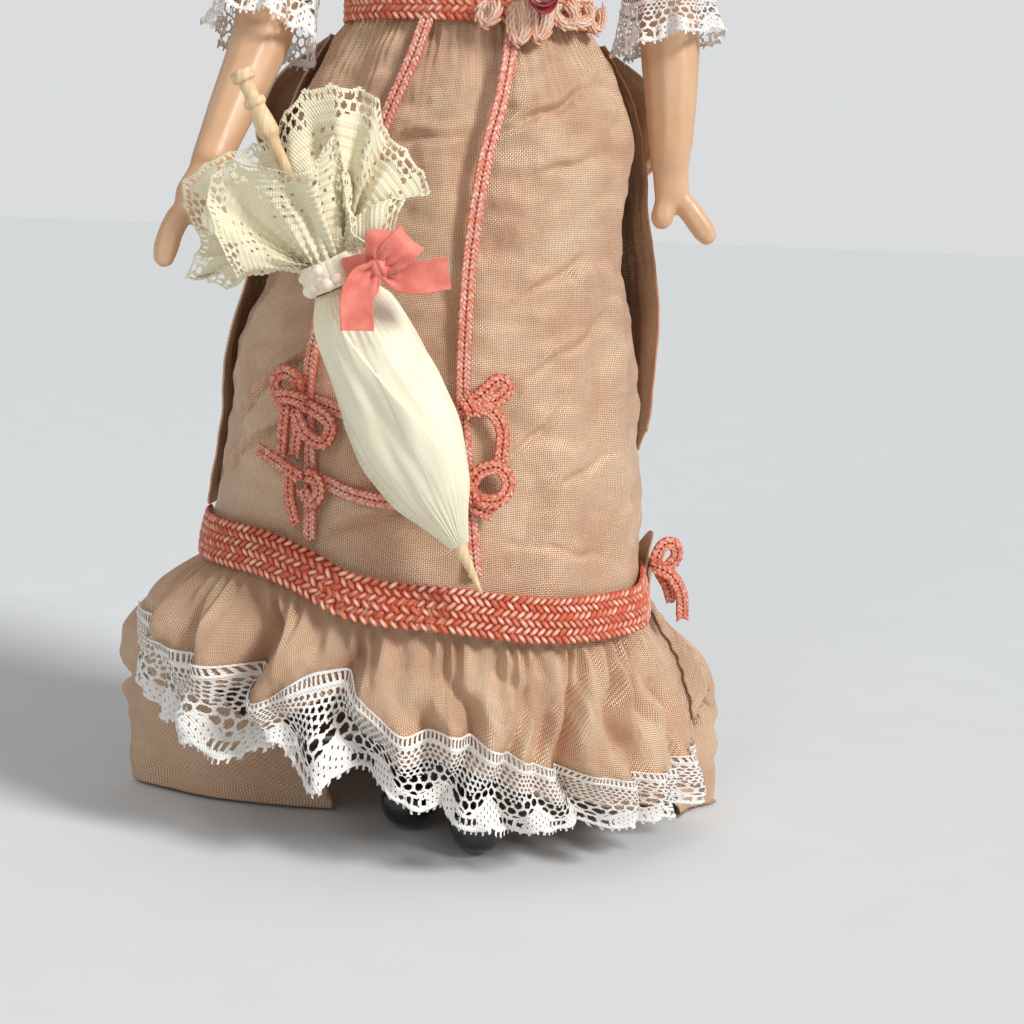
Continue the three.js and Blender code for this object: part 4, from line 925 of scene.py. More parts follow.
# Running stitches along the drape's sides and hem, from (u, v) to (u, v)
STITCH_LINES = [((0.03, 0.02), (0.03, 0.98)), ((0.97, 0.02), (0.97, 0.98)), ((0.03, 0.98), (0.97, 0.98))]
stitches = Pieces()
for start, end in STITCH_LINES:
    u, v = np.linspace(start, end, 200).T
    path = drape_surface(u, v)
    seam_line = Strip(path, skirt_outward(path))
    add_leaves(stitches, seam_line, 0, 0.04, 0, 1.5, (0.95, 0.2, 0.1), rings=3, sides=5)
stitches.build("drape_stitches", SILK, "torso")

# Lace edging of the flounce, cuffs and collar


def hex_holes(s, d, pitch, radius):
    """True inside the round holes of a hexagonal net."""
    high = pitch * 0.866
    row = np.floor(d / high)
    x = s / pitch + 0.5 * (row % 2)
    across, down = (x - np.floor(x) - 0.5) * pitch, (d / high - row - 0.5) * high
    return across**2 + down**2 < radius**2


def edging(width, scallop=6.6):
    """Bobbin lace: corded ladder heading, fine net, large eyelets, then a dense band with a corded edge."""

    def pattern(s, d):
        middle = np.abs(np.sin(math.pi * s / scallop))
        wave = np.cos(2 * math.pi * s / scallop)
        edge = width - 1.35 + 0.9 * middle**0.7
        dense = edge - 0.25 * width - 0.07 * width * wave
        column = np.floor(s / 0.5)
        ladder = (d > 0.3) & (d < 1.15) & ((s / 0.5) % 1 > 0.46)
        ground = (d > 1.6) & (d < dense - 2.1) & hex_holes(s, d, 0.66, 0.23)
        eyelets = (d > np.maximum(1.6, dense - 2.1)) & (d < dense)
        eyelets &= hex_holes(s, d + 0.035 * width * wave, 1.15, 0.45)
        stitches = (d > dense + 0.3) & (d < edge - 0.5)
        stitches &= ((s / 0.5) % 1 < 0.3) & ((d / 0.8 + 0.5 * (column % 2)) % 1 < 0.35)
        gaps = (np.abs(d - edge + 1.05) < 0.34) & (middle > 0.72) & ((s / 0.82) % 1 > 0.4)
        picots = (d > edge) & ((s / 0.82) % 1 > 0.34)
        keep = ~(ladder | ground | eyelets | stitches | gaps | picots | (d > edge + 0.4))
        cords = bump(d, 0.15, 0.2) + bump(d, 1.35, 0.2) + 1.6 * bump(d, edge - 0.2, 0.26)
        return keep, cords + 0.6 * step(d, dense, dense + 0.4)

    return pattern


flounce_edge = (flounce_lace_surface, 106, 10, edging(10))
flounce_lace = lace("flounce_lace_edging", *flounce_edge, WHITE_LACE, "torso", cell=0.125)
stand_for(flounce_lace, "flounce_lace")

# Braids, cords and bows


def plait(pieces, strip, columns, seat, pitch, size, crown=0.0):
    """Herringbone of strand ends in columns across a strip, their seat lower away from its middle."""
    for row, w in enumerate(columns):
        slant = 42 if row % 2 else -42
        start = 0.5 * pitch * (row % 2)
        add_leaves(pieces, strip, w, seat - crown * w * w, slant, pitch, size, start=start, sides=8)


hem = Pieces()
hem_angle = np.linspace(-95, 93, 400)
hem_path = skirt_point(hem_angle, braid_line(hem_angle), 0.95 - 0.75 * step(np.abs(hem_angle), 55, 92))
hem_strip = Strip(hem_path, skirt_outward(hem_path) + np.array([0, 0, 0.18]))
add_tube(hem, hem_strip, 0, 0.05, BRAID_WIDTH * 0.47, 0.3, sides=12)
plait(hem, hem_strip, (-2.0, -1.2, -0.4, 0.4, 1.2, 2.0), 0.4, 0.78, (1.45, 0.6, 0.33), crown=0.03)
stand_for(hem.build("hem_braid_plait", HEM_CORAL, "torso"), "hem_braid")

belt = Pieces()
belt_path = skirt_point(np.linspace(0, 360, 300), WAIST_Z, 0.75)
belt_path[:, 2] = WAIST_Z + 0.1
belt_strip = Strip(belt_path, skirt_outward(belt_path))
add_tube(belt, belt_strip, 0, 0.1, 1.4, 0.3, sides=10, ends=False)
plait(belt, belt_strip, (-1.1, -0.37, 0.37, 1.1), 0.34, 0.74, (1.3, 0.58, 0.24))
stand_for(belt.build("waist_belt_plait", HEM_CORAL, "torso"), "waist_belt")

# The soutache on the skirt's front, as (across, height)
CENTRE_CORD = [(4.1, 86.6), (4, 84.6), (3.3, 79.9), (2.1, 74.9), (1.1, 68), (0.6, 61), (0.6, 48),
               (1.7, 37.7), (2.4, 31.5)]
SIDE_CORD = [(-4.1, 88), (-4.6, 86.4), (-5.4, 84), (-7.9, 78), (-11.8, 66), (-14.5, 54.6), (-15.1, 49),
             (-14.7, 43.9), (-14.6, 34.6)]


def skirt_cord(pieces, route, out=0.15):
    """Soutache sewn along (across, height) points of the skirt's front."""
    x, z = np.array(route, float).T
    path = smooth_path(on_skirt(x, z, out), 240)
    soutache(pieces, path, skirt_outward(path))


def sagging(start, end, sag):
    t = np.linspace(0, 1, 5)
    x = start[0] + (end[0] - start[0]) * t
    z = start[1] + (end[1] - start[1]) * t - 4 * sag * t * (1 - t)
    return list(zip(x, z))


CORDS = {
    "centre_cord_braid": ("cord_centre", CENTRE_CORD),
    "side_cord_braid": ("cord_side", SIDE_CORD),
    "upper_cross_braid": ("cord_cross_upper", sagging((-14.2, 48.9), (0.1, 48.6), 1.2)),
    "lower_cross_braid": ("cord_cross_lower", sagging((-13.7, 41), (0.6, 40.2), 1.4)),
}
for name, (node, route) in CORDS.items():
    cord = Pieces()
    skirt_cord(cord, route)
    stand_for(cord.build(name, CORD, "torso"), node)

# Strands of each bow leave its knot, as (across, up, lift)
BOWS = {
    "bow_side_upper": ((-16.2, 48.9), [
        [(-1.2, 0.1, 0.3), (-2, 1.5, 0.3), (-1, 2.7, 0.4), (0.4, 2.2, 0.4), (0.5, 0.2, 0.3)],
        [(0.5, -0.2, 0.5), (2.4, -0.7, 0.4), (4, -2.2, 0.3), (3.3, -4, 0.3), (1.6, -3.4, 0.4),
         (0.2, -0.8, 0.5)],
        [(-0.6, 0, 0.5), (-0.9, -2.6, 0.4), (-1.3, -6, 0.1)],
        [(0.4, 0, 0.3), (0.5, -2.8, 0.2), (0.1, -5.8, 0)],
        [(-1.7, 0.1, 1), (0, 0.5, 1.3), (1.6, 0.1, 1)]]),
    "bow_side_lower": ((-15.9, 41.6), [
        [(0, 0, 0.4), (-2, 0.8, 0.3), (-4, 1.8, 0.1)],
        [(-0.4, 0, 0.6), (-0.5, -2.6, 0.4), (0.1, -5.6, 0.1)],
        [(0.6, -0.2, 0.5), (2.2, -0.4, 0.4), (2.6, -2, 0.3), (1.7, -3, 0.3), (0.9, -1.6, 0.4)],
        [(-0.9, 0.5, 1), (0.1, 0.2, 1.3), (1, -0.4, 1)]]),
    "bow_centre_upper": ((0.9, 49.4), [
        [(0, 0, 0.4), (1.4, 1.2, 0.4), (3, 2.7, 0.4), (3.9, 2, 0.4), (2.9, 0.8, 0.5), (0.8, 0, 0.6)],
        [(0, 0, 0.5), (2.2, -0.3, 0.5), (3.5, -2.2, 0.3), (3.5, -5.8, 0)],
        [(0, 0, 0.3), (-1.5, -0.8, 0.1)],
        [(-0.3, 0.9, 1), (0.3, 0, 1.3), (0.6, -1, 1)]]),
    "bow_centre_lower": ((1.2, 40.6), [
        [(0, 0.2, 0.4), (1.2, 2.2, 0.4), (3, 2.6, 0.4), (4, 1.2, 0.4), (3.3, -0.6, 0.5), (1.5, -0.8, 0.6),
         (0.2, -0.2, 0.6)],
        [(0, 0, 0.4), (1.1, -1.6, 0.2), (2.8, -2.3, 0)],
        [(-0.2, 0.9, 1), (0.4, 0, 1.3), (0.5, -0.9, 1)]]),
}
for name, (knot, strands) in BOWS.items():
    bow = Pieces()
    for strand in strands:
        across, up, lift = np.array(strand, float).T
        skirt_cord(bow, np.stack([knot[0] + across, knot[1] + up], axis=1), 0.7 + lift)
    stand_for(bow.build(f"{name}_braid", CORAL, "torso"), name)

# The bow at the braid's left end, as (aside, out, up) from its knot
SIDE_BOW = (
    [(-0.6, -1.6, -0.6), (-0.9, -2.2, 0.9), (-0.1, -2.1, 2.3), (1.1, -1.4, 2.2), (1.5, -1.2, 0.8),
     (0.4, -1.4, -0.5)],
    [(-0.4, -1.8, -0.4), (1.2, -2, -1.6), (2.3, -1.2, -3.6), (2.6, -0.8, -6.6)],
    [(-0.6, -1.2, -0.6), (0.6, -1.2, -2.4), (1.4, -0.4, -4.6)],
    [(-1.2, -2.2, -0.2), (0, -2.7, -0.6), (1, -2, -1.3)],
)
side_bow = Pieces()
side_seat = skirt_point(92.0, 30.4, 2.6)
for strand in SIDE_BOW:
    soutache(side_bow, smooth_path(side_seat + np.array(strand), 160), np.array([0.25, -1.0, 0.1]), rise=0)
stand_for(side_bow.build("side_bow_braid", CORAL, "torso"), "side_bow")

# Gimp and rose at the waist

# The gimp hangs in thick satin loops, as (angle, rise of the top, width, length, lean)
GIMP_LOOPS = [(8, 0.4, 1.2, 1.9, -0.3), (20, 0.5, 1.1, 3.6, 0.3), (31, 0.9, 1.2, 3.6, -0.2),
              (42, 0.7, 1.9, 1.8, 0.5), (54, 0.8, 1.9, 1.7, -0.4), (65, 0.7, 1.3, 1.9, 0.2)]
gimp = Pieces()
for place, top_rise, wide, loop_length, lean in GIMP_LOOPS:
    seat = skirt_point(place, float(WAIST_Z), 2.0)
    out = skirt_outward(seat)
    beside = np.cross([0, 0, 1], out)
    turn = np.linspace(0, 2 * math.pi, 40)
    sway = wide * 0.5 * np.sin(turn) + lean * 0.5 * (1 - np.cos(turn))
    fall = loop_length * 0.5 * (np.cos(turn) - 1)
    loop = seat + sway[:, None] * beside + (0.5 + 0.5 * np.cos(turn / 2))[:, None] * out
    loop[:, 2] += top_rise + fall
    loop_strip = Strip(smooth_path(loop, 120), out)
    add_tube(gimp, loop_strip, 0, 0, 0.62, 0.55, sides=14)
    for around in (-66, -33, 0, 33, 66):
        w, h = 0.6 * math.sin(math.radians(around)), 0.53 * math.cos(math.radians(around))
        add_leaves(gimp, loop_strip, w, h, 16, 0.75, (1.5, 0.36, 0.12), start=0.3 * (around % 2))
stand_for(gimp.build("waist_gimp_loops", PEACH, "torso"), "waist_gimp")

ROSE = {"angle": 27, "rise": 1.4, "radius": 1.9, "turns": 3.4}
rose_seat = skirt_point(ROSE["angle"], float(WAIST_Z), 4.4)
rose_out = skirt_outward(rose_seat)
rose_side = np.cross([0, 0, 1], rose_out)
rose_seat = rose_seat + np.array([0, 0, ROSE["rise"]])


def rose_surface(u, v):
    """A ribbon wound into a bud, its outer turns opening like petals."""
    turn = 2 * math.pi * ROSE["turns"] * u
    open_out = u**1.5
    petal = 0.22 * np.sin(2.6 * turn) * open_out
    radius = 0.2 + (ROSE["radius"] - 0.75) * u + (0.25 + 0.5 * open_out) * v + petal * v
    rise = -0.4 + (1.5 - 0.75 * open_out) * v + 0.3 * petal
    spoke = np.cos(turn)[..., None] * rose_side + np.sin(turn)[..., None] * np.array([0, 0, 1])
    return rose_seat + radius[..., None] * spoke + rise[..., None] * rose_out


rose = cloth("waist_rose_ribbon", rose_surface, 240, 14, RED_RIBBON, "torso", RIBBON_THICKNESS)
stand_for(rose, "waist_rose")

# Stuffed body and cast limbs, smoothed from their solids, and steel for the wires


def relax(mesh, at, weight, rounds):
    """Points moved towards the mean of their neighbours, as far as each one's weight says."""
    edges = read_all(mesh.edges, "vertices", 2, int)
    a, b = edges.T
    degree = np.bincount(edges.ravel(), minlength=len(at))[:, None]
    for _ in range(rounds):
        sums = [np.bincount(a, at[b, k], len(at)) + np.bincount(b, at[a, k], len(at)) for k in range(3)]
        at = at + 0.5 * weight[:, None] * (np.stack(sums, axis=1) / degree - at)
    return at


def evaluated(piece):
    return piece.evaluated_get(bpy.context.evaluated_depsgraph_get())


def smooth_copy(node, name, material, body, voxel, rounds, lumps=0.0, ankle=None, wrist=None):
    """A finer, smoother copy of a CAD solid, with soft lumps where it is stuffed.

    It is drawn in below an ankle and evened out round a wrist.
    """
    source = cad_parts[node]
    solid = evaluated(source).to_mesh()
    world = np.array(source.matrix_world)
    points = read_all(solid.vertices, "co") @ world[:3, :3].T + world[:3, 3]
    rough = bpy.data.meshes.new(name)
    rough.from_pydata(points.tolist(), [], [list(face.vertices) for face in solid.polygons])
    piece = add_object(name, rough)
    remesh = piece.modifiers.new("even", "REMESH")
    remesh.mode = "VOXEL"
    remesh.voxel_size = voxel * MM
    smooth = piece.modifiers.new("smooth", "SMOOTH")
    smooth.factor = 0.6
    smooth.iterations = rounds
    fine = bpy.data.meshes.new_from_object(evaluated(piece))
    piece.modifiers.clear()
    piece.data = fine
    at = read_all(fine.vertices, "co")
    if lumps:
        soft = crinkle(at[:, 0] / MM, at[:, 2] / MM + at[:, 1] / MM, 3, 8, seed=41)
        at = at + read_all(fine.vertices, "normal") * (lumps * MM * soft)[:, None]
    if ankle:
        leg = at[at[:, 2] > ankle * MM].mean(axis=0)
        foot = at[:, 2] < ankle * MM
        at[foot, :2] = leg[:2] + 0.5 * (at[foot, :2] - leg[:2])
        at[foot, 2] = np.maximum(at[foot, 2], 0.4 * ankle * MM)
    if wrist:
        near = np.linalg.norm(at / MM - SHIFT - wrist, axis=1)
        at = relax(fine, at, 1 - step(near, 1.5, 4.5), 90)
    fine.vertices.foreach_set("co", at.ravel())
    centre = at.mean(axis=0)
    turn = np.arctan2(at[:, 0] - centre[0], centre[1] - at[:, 1])
    reach = np.hypot(at[:, 0] - centre[0], at[:, 1] - centre[1]).mean()
    dress(fine, material, np.stack([turn * reach, at[:, 2]], axis=1) / MM)
    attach(piece, body)
    return piece


# The slipper's half width, top and sole from toe (0) to heel (1), and the heel's waist and drop

shoe_half = along([(0, 0), (0.015, 1.1), (0.05, 2), (0.11, 2.75), (0.2, 3.05), (0.32, 2.95), (0.55, 2.1),
                   (0.8, 2), (0.94, 1.5), (1, 0)])
shoe_top = along([(0, 3), (0.015, 4), (0.05, 4.9), (0.12, 5.6), (0.22, 5.9), (0.35, 5.8), (0.6, 6.6),
                  (0.9, 7.6), (1, 6)])
shoe_sole = along([(0, 3), (0.015, 1.9), (0.05, 1), (0.12, 0.35), (0.22, 0.12), (0.4, 0.3), (0.65, 1.5),
                   (0.9, 2.2), (1, 4)])
heel_waist = along([(0, 1), (0.4, 0.86), (0.8, 0.95), (0.9, 0.92), (1, 0)])
heel_drop = along([(0, 0), (0.4, 0.5), (0.85, 0.97), (0.9, 1), (1, 1)])


def painted_shoe(side):
    """The round-toed slipper over a cast foot, v from toe to heel."""
    low, high = (np.array(corner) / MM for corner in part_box(f"{side}_shin_shoe"))
    centre = (low[0] + high[0]) / 2 - SHIFT[0]
    toe, heel = low[1] - SHIFT[1], high[1] - SHIFT[1]

    def slipper(u, v):
        middle, rise = (shoe_top(v) + shoe_sole(v)) / 2, (shoe_top(v) - shoe_sole(v)) / 2
        across = centre + shoe_half(v) * sin_deg(360 * u)
        return stack(across, toe + (heel - toe) * v, middle - rise * cos_deg(360 * u))

    def heel_block(u, v):
        x, y = 1.6 * sin_deg(360 * u), 1.5 * cos_deg(360 * u)
        narrow = heel_waist(v)
        return stack(centre + narrow * x, heel - 2.2 - narrow * y, 2.9 - 2.9 * heel_drop(v))

    made = Pieces()
    for part, across, down in ((slipper, 48, 72), (heel_block, 40, 16)):
        made.add(*cloth_grid(part, across, down))
    return made.build(f"{side}_shoe_glazed", SHOE, f"{side}_leg")


# Where each forearm narrows into its hand
WRISTS = {"left": (22.1, -1.6, 73.2), "right": (-26, -10.8, 72)}


def stuffed(node, name, body, voxel):
    """A muslin bag over a CAD solid, nine tenths full of padding."""
    bag = smooth_copy(node, name, MUSLIN, body, voxel, 4, lumps=0.05)
    stand_for(bag, node)


stuffed("cloth_torso", "torso_stuffed", "torso", 0.4)
for side in ("left", "right"):
    arm, leg = f"{side}_arm", f"{side}_leg"
    for node, body in ((f"{side}_upper_arm", arm), (f"{side}_thigh", leg)):
        stuffed(node, f"{node}_stuffed", body, 0.35)
    hand = smooth_copy(f"{side}_forearm", f"{side}_hand_cast", SKIN, arm, 0.22, 16, wrist=WRISTS[side])
    stand_for(hand, f"{side}_forearm")
    shoe = smooth_copy(f"{side}_shin_shoe", f"{side}_shin_cast", SHOE, leg, 0.24, 9, ankle=5.2)
    stand_for(shoe, f"{side}_shin_shoe")
    painted_shoe(side)
    for limb in ("arm", "leg"):
        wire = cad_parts[f"{side}_{limb}_wire"]
        wire.data.materials.clear()
        wire.data.materials.append(STEEL)

# Head, neck and shoulder plate

# Half widths and depths of shoulders, bodice and waist by height, and how square the section is

body_side = along([(66, 8), (74, 12.4), (80, 13), (89, 10.8), (93, 10.8), (104, 12.4), (112, 13.1),
                   (119, 13.1), (123, 12.4), (125, 9.6), (127.5, 4.6), (130, 3.2)])
body_front = along([(66, 5), (74, 7.6), (80, 8), (89, 7.6), (93, 7.6), (106, 9.4), (112, 8.6), (119, 6.4),
                    (123, 5.2), (125, 4.6), (127.5, 3.8), (130, 3.2)])
body_back = along([(66, 5), (74, 8.6), (80, 8.8), (89, 7.6), (93, 7.2), (110, 7), (119, 6.4), (123, 5.4),
                   (125, 4.8), (127.5, 3.8), (130, 3.2)])
body_square = along([(100, 1), (112, 0.76), (123, 0.76), (127.5, 1)])
HEAD_HALF = (7.2, 8.4, 9.6)


def body_point(angle, z):
    power = body_square(z)
    depth = np.where(cos_deg(angle) > 0, body_front(z), body_back(z))
    across = np.sign(sin_deg(angle)) * np.abs(sin_deg(angle)) ** power
    forward = np.sign(cos_deg(angle)) * np.abs(cos_deg(angle)) ** power
    return stack(body_side(z) * across, -depth * forward, z)


def oval(x, up, at_x, at_up, half_x, half_up):
    return np.exp(-(((x - at_x) / half_x) ** 2) - ((up - at_up) / half_up) ** 2)


def face_relief(x, up):
    """How far the face stands out, from the middle of the head, in millimetres."""
    sides = (-1, 1)
    nose = 1.25 * oval(x, up, 0, -2.5, 0.75, 0.8) + 0.75 * oval(x, up, 0, -0.9, 0.55, 1.8)
    wings = sum(0.35 * oval(x, up, 0.75 * side, -2.8, 0.42, 0.45) for side in sides)
    sockets = sum(0.62 * oval(x, up, 2.75 * side, 0.35, 1.5, 0.95) for side in sides)
    lids = sum(0.34 * oval(x, up, 2.75 * side, 0.15, 1.05, 0.62) for side in sides)
    brows = sum(0.22 * oval(x, up, 2.7 * side, 1.7, 1.9, 0.5) for side in sides)
    cheeks = sum(0.35 * oval(x, up, 3.7 * side, -2.9, 1.7, 1.7) for side in sides)
    upper_lip = sum(0.32 * oval(x, up, 0.5 * side, -4.55, 0.62, 0.32) for side in sides)
    lower_lip = 0.42 * oval(x, up, 0, -5.25, 0.95, 0.4) - 0.22 * oval(x, up, 0, -4.86, 1.3, 0.13)
    under = -0.2 * oval(x, up, 0, -6.05, 1.1, 0.4) + 0.7 * oval(x, up, 0, -7.6, 1.7, 1.1)
    return nose + wings - sockets + lids + brows + cheeks + upper_lip + lower_lip + under


def head_point(angle, polar, grow=0.0):
    jaw = 1 - 0.27 * np.maximum(0, -cos_deg(polar)) ** 1.5
    x = (HEAD_HALF[0] + grow) * jaw * sin_deg(polar) * sin_deg(angle)
    y = -(HEAD_HALF[1] + grow) * jaw * sin_deg(polar) * cos_deg(angle)
    up = (HEAD_HALF[2] + grow) * cos_deg(polar)
    front = step(-y, 0, 3)
    return stack(x, y - front * face_relief(x, up), HEAD_Z + up)


def painted_face():
    """Casting tint with painted features, placed by millimetres across and up the face."""
    m = Shader("painted_face", **CASTING)
    across, up = m.across_and_down()
    aside = m.math("ABSOLUTE", across)
    brush = m.noise(m.place.outputs["UV"], 2.5, 3)
    jitter = m.times(m.math("SUBTRACT", brush, 0.5), 0.12)

    def reach(at_x, at_up, half_x, half_up):
        """Distance from an oval's middle, 1 on its edge."""
        x = m.math("DIVIDE", m.math("SUBTRACT", aside, at_x), half_x)
        y = m.math("DIVIDE", m.math("SUBTRACT", m.plus(up, jitter), at_up), half_up)
        return m.math("SQRT", m.plus(m.times(x, x), m.times(y, y)))

    def inside(distance, soft=0.12):
        return m.ramp(distance, 1 + soft, 1 - soft)

    def line(distance, half):
        return m.ramp(m.math("ABSOLUTE", m.math("SUBTRACT", distance, 1.0)), half, half * 0.4)

    mottle = m.noise(m.place.outputs["Object"], 260.0, 3)
    color = m.mix(m.ramp(mottle, 0.3, 0.7), linear(218, 178, 138), linear(210, 166, 124))
    blush = m.times(m.ramp(reach(3.7, -2.6, 2.6, 2.0), 1.0, 0.1), 0.4)
    color = m.mix(blush, color, linear(214, 112, 92))
    eye = reach(2.75, 0.15, 1.12, 0.58)
    color = m.mix(inside(eye), color, linear(240, 232, 222))
    in_eye = inside(eye, 0.05)
    color = m.mix(m.times(inside(reach(2.7, 0.18, 0.52, 0.54)), in_eye), color, linear(94, 66, 42))
    color = m.mix(m.times(inside(reach(2.7, 0.18, 0.24, 0.25)), in_eye), color, linear(22, 16, 14))
    # A painted highlight: a small white dot in each eye, above and to the side of the pupil
    color = m.mix(inside(reach(2.84, 0.34, 0.11, 0.11)), color, linear(250, 248, 244))
    upper = m.ramp(up, 0.1, 0.3)
    lash = m.times(line(reach(2.75, 0.13, 1.2, 0.66), 0.2), upper)
    color = m.mix(lash, color, linear(58, 34, 24))
    brow = m.times(line(reach(2.9, 0.2, 1.9, 1.95), 0.1), m.ramp(up, 1.3, 1.7))
    color = m.mix(m.times(brow, 0.8), color, linear(104, 66, 42))
    upper_lip = inside(reach(0.45, -4.6, 0.8, 0.3), 0.2)
    lower_lip = inside(reach(0, -5.2, 1.0, 0.42), 0.2)
    color = m.mix(m.times(m.math("MAXIMUM", upper_lip, lower_lip), 0.85), color, linear(186, 62, 56))
    color = m.mix(m.times(inside(reach(0, -4.86, 1.15, 0.09), 0.5), 0.7), color, linear(120, 36, 34))
    m.color(color)
    m.rough(mottle, 0.12, 0.34)
    m.raise_by(m.noise(m.place.outputs["Object"], 2600.0, 2), 0.01, 0.4)
    return m.material


FACE = painted_face()
head = Pieces()
turn, polar = np.meshgrid(np.linspace(-180, 180, 321), np.linspace(0.5, 179.5, 260))
turn = turn - 30 * sin_deg(turn)
shape = head_point(turn, polar)
front = shape[..., 1] < 0
face_uv = np.stack([shape[..., 0] + np.where(front, 0, 100), shape[..., 2] - HEAD_Z], axis=-1)
head.add(shape, grid_faces(*turn.shape), face_uv)
turn, height = np.meshgrid(np.linspace(0, 360, 161), np.linspace(137, 123.4, 60))
plate = body_point(turn, height)
head.add(plate, grid_faces(*turn.shape), np.stack([plate[..., 0] + 200, plate[..., 2]], axis=-1))
stand_for(head.build("head_cast", FACE, "torso"), "head_shoulder_plate")

# Hair: combed up from the hairline into a roll, and a coiled bun

hairline = along([(0, 56), (30, 62), (60, 84), (85, 100), (120, 112), (180, 122)])


def hair_surface(u, v):
    around = np.abs(wrapped(360 * u))
    polar = 4 + (hairline(around) + 3 * np.cos(2 * math.pi * 9 * u) * bump(v, 1, 0.1) - 4) * v
    roll = 1.15 * np.sqrt(np.clip(1 - ((v - 0.8) / 0.22) ** 2, 0, 1)) * (v > 0.58)
    grow = 0.5 + 0.8 * step(v, 0, 0.25) + roll * step(v, 0.5, 0.72) - 0.9 * step(v, 0.9, 1)
    locks = 0.12 * np.sin(2 * math.pi * 46 * u + 3 * np.sin(7 * v + 9 * u))
    locks = locks + 0.06 * np.sin(2 * math.pi * 131 * u + 5 * v)
    return head_point(360 * u, polar, grow + locks * step(v, 0, 0.2))


hair_cap = cloth("hair_combed", hair_surface, 620, 150, HAIR, "torso", thickness=0)
stand_for(hair_cap, "hair_cap")

bun = Pieces()
bun_turn = np.linspace(0, 2 * math.pi * 2.6, 300)
bun_share = bun_turn / bun_turn[-1]
bun_radius = 3.4 * (1 - bun_share) ** 0.6
bun_rise = HEAD_Z + 9.9 + 2.2 * bun_share
bun_path = stack(bun_radius * np.cos(bun_turn), 3.4 + bun_radius * np.sin(bun_turn), bun_rise)
bun_strip = Strip(bun_path, np.array([0.01, 0, 1.0]))
strand = np.linspace(0, 2 * math.pi, 64)
s, around = np.meshgrid(np.linspace(0, bun_strip.length, 400), strand, indexing="ij")
lock = 1.55 + 0.12 * np.sin(6 * around + 1.3 * s) + 0.05 * np.sin(17 * around + 1.3 * s)
ends = np.sqrt(np.clip(1 - (np.abs(s / bun_strip.length * 2 - 1)) ** 30, 0, 1))
coil = bun_strip.point(s, lock * ends * np.cos(around), lock * ends * np.sin(around))
coil_uv = np.stack([around * 1.6 + 0.35 * s, s], axis=-1)
bun.add(coil, grid_faces(400, 64), coil_uv)
stand_for(bun.build("hair_bun_coil", HAIR, "torso"), "hair_bun")

# Bodice, sleeves, cuffs and collar

ARMHOLE_RADIUS = 4.6
BODICE_TOP = 127.6


def bodice_surface(u, v):
    angle = 360 * u
    z = BODICE_TOP + (WAIST_Z + 0.3 - BODICE_TOP) * v
    across = wrapped(angle) * 0.2
    darts = -0.35 * sum(bump(wrapped(angle), at, 2.2) for at in (-38, 38, 180, -180)) * bump(z, 92, 9)
    creases = 0.16 * crinkle(across, 0.4 * z, 2.5, 8, seed=51, sharp=0.3)
    gathers = 0.2 * np.sin(across * 5.5 + np.sin(across)) * bump(z, WAIST_Z, 5)
    points = body_point(angle, z)
    return points + (0.85 + darts + creases + gathers)[..., None] * normals_of(points)


def outside_armholes(points):
    across, deep, high = points.T
    return (np.abs(across) < 8) | (np.hypot(deep, high - SHOULDER_Z) > ARMHOLE_RADIUS)


bodice = cloth("bodice_silk", bodice_surface, 360, 150, SILK, "torso", keep=outside_armholes)
stand_for(bodice, "bodice")

# The gathered cloth round the shoulder's axis, from the bodice's armhole into the sleeve
GATHERS = {"from": 13.5, "to": 15.6, "radius": 3.8, "flare": 0.85, "folds": 34}
SLEEVE_INNER = 14.65
SLEEVE_LENGTH = 27
SLEEVE_TOP = 5.2
# Each arm's side and its line down from the shoulder
ARMS = {
    "left": (1, [(0, 0, 0), (1.4, 0.8, -9), (3, 1.4, -21), (4, 0.2, -32), (4.4, -1, -40),
                 (4.5, -1.6, -45.5)]),
    "right": (-1, [(0, 0, 0), (-1, 1, -9), (-2.2, 1.2, -21), (-3.8, -3, -33), (-6.6, -7.6, -41.5),
                   (-8.4, -10.8, -47)]),
}
# The cuffs' mean length, and how much shorter one is on the figure's left
CUFFS = {"left": (5.4, 0.9), "right": (7.4, 0)}


class Arm:
    """The line of one arm, with the frame across it."""

    def __init__(self, sign, route):
        pivot = np.array([sign * SHOULDER_X, 0, SHOULDER_Z])
        points = np.vstack([pivot + [0, 0, SLEEVE_TOP], pivot + np.array(route, float)])
        path = smooth_path(points, 300)
        self.sign = sign
        self.strip = Strip(path, np.array([0, 1.0, 0]))

    def share_at(self, drop):
        below = SHOULDER_Z - self.strip.path[:, 2]
        return np.interp(drop, below, self.strip.place)

    def around(self, s, angle, radius):
        return self.strip.point(s, radius * sin_deg(angle), -radius * cos_deg(angle))


sleeve_radius = along([(0, SLEEVE_TOP), (13.5, SLEEVE_TOP), (23, 4.7), (31, 5)])


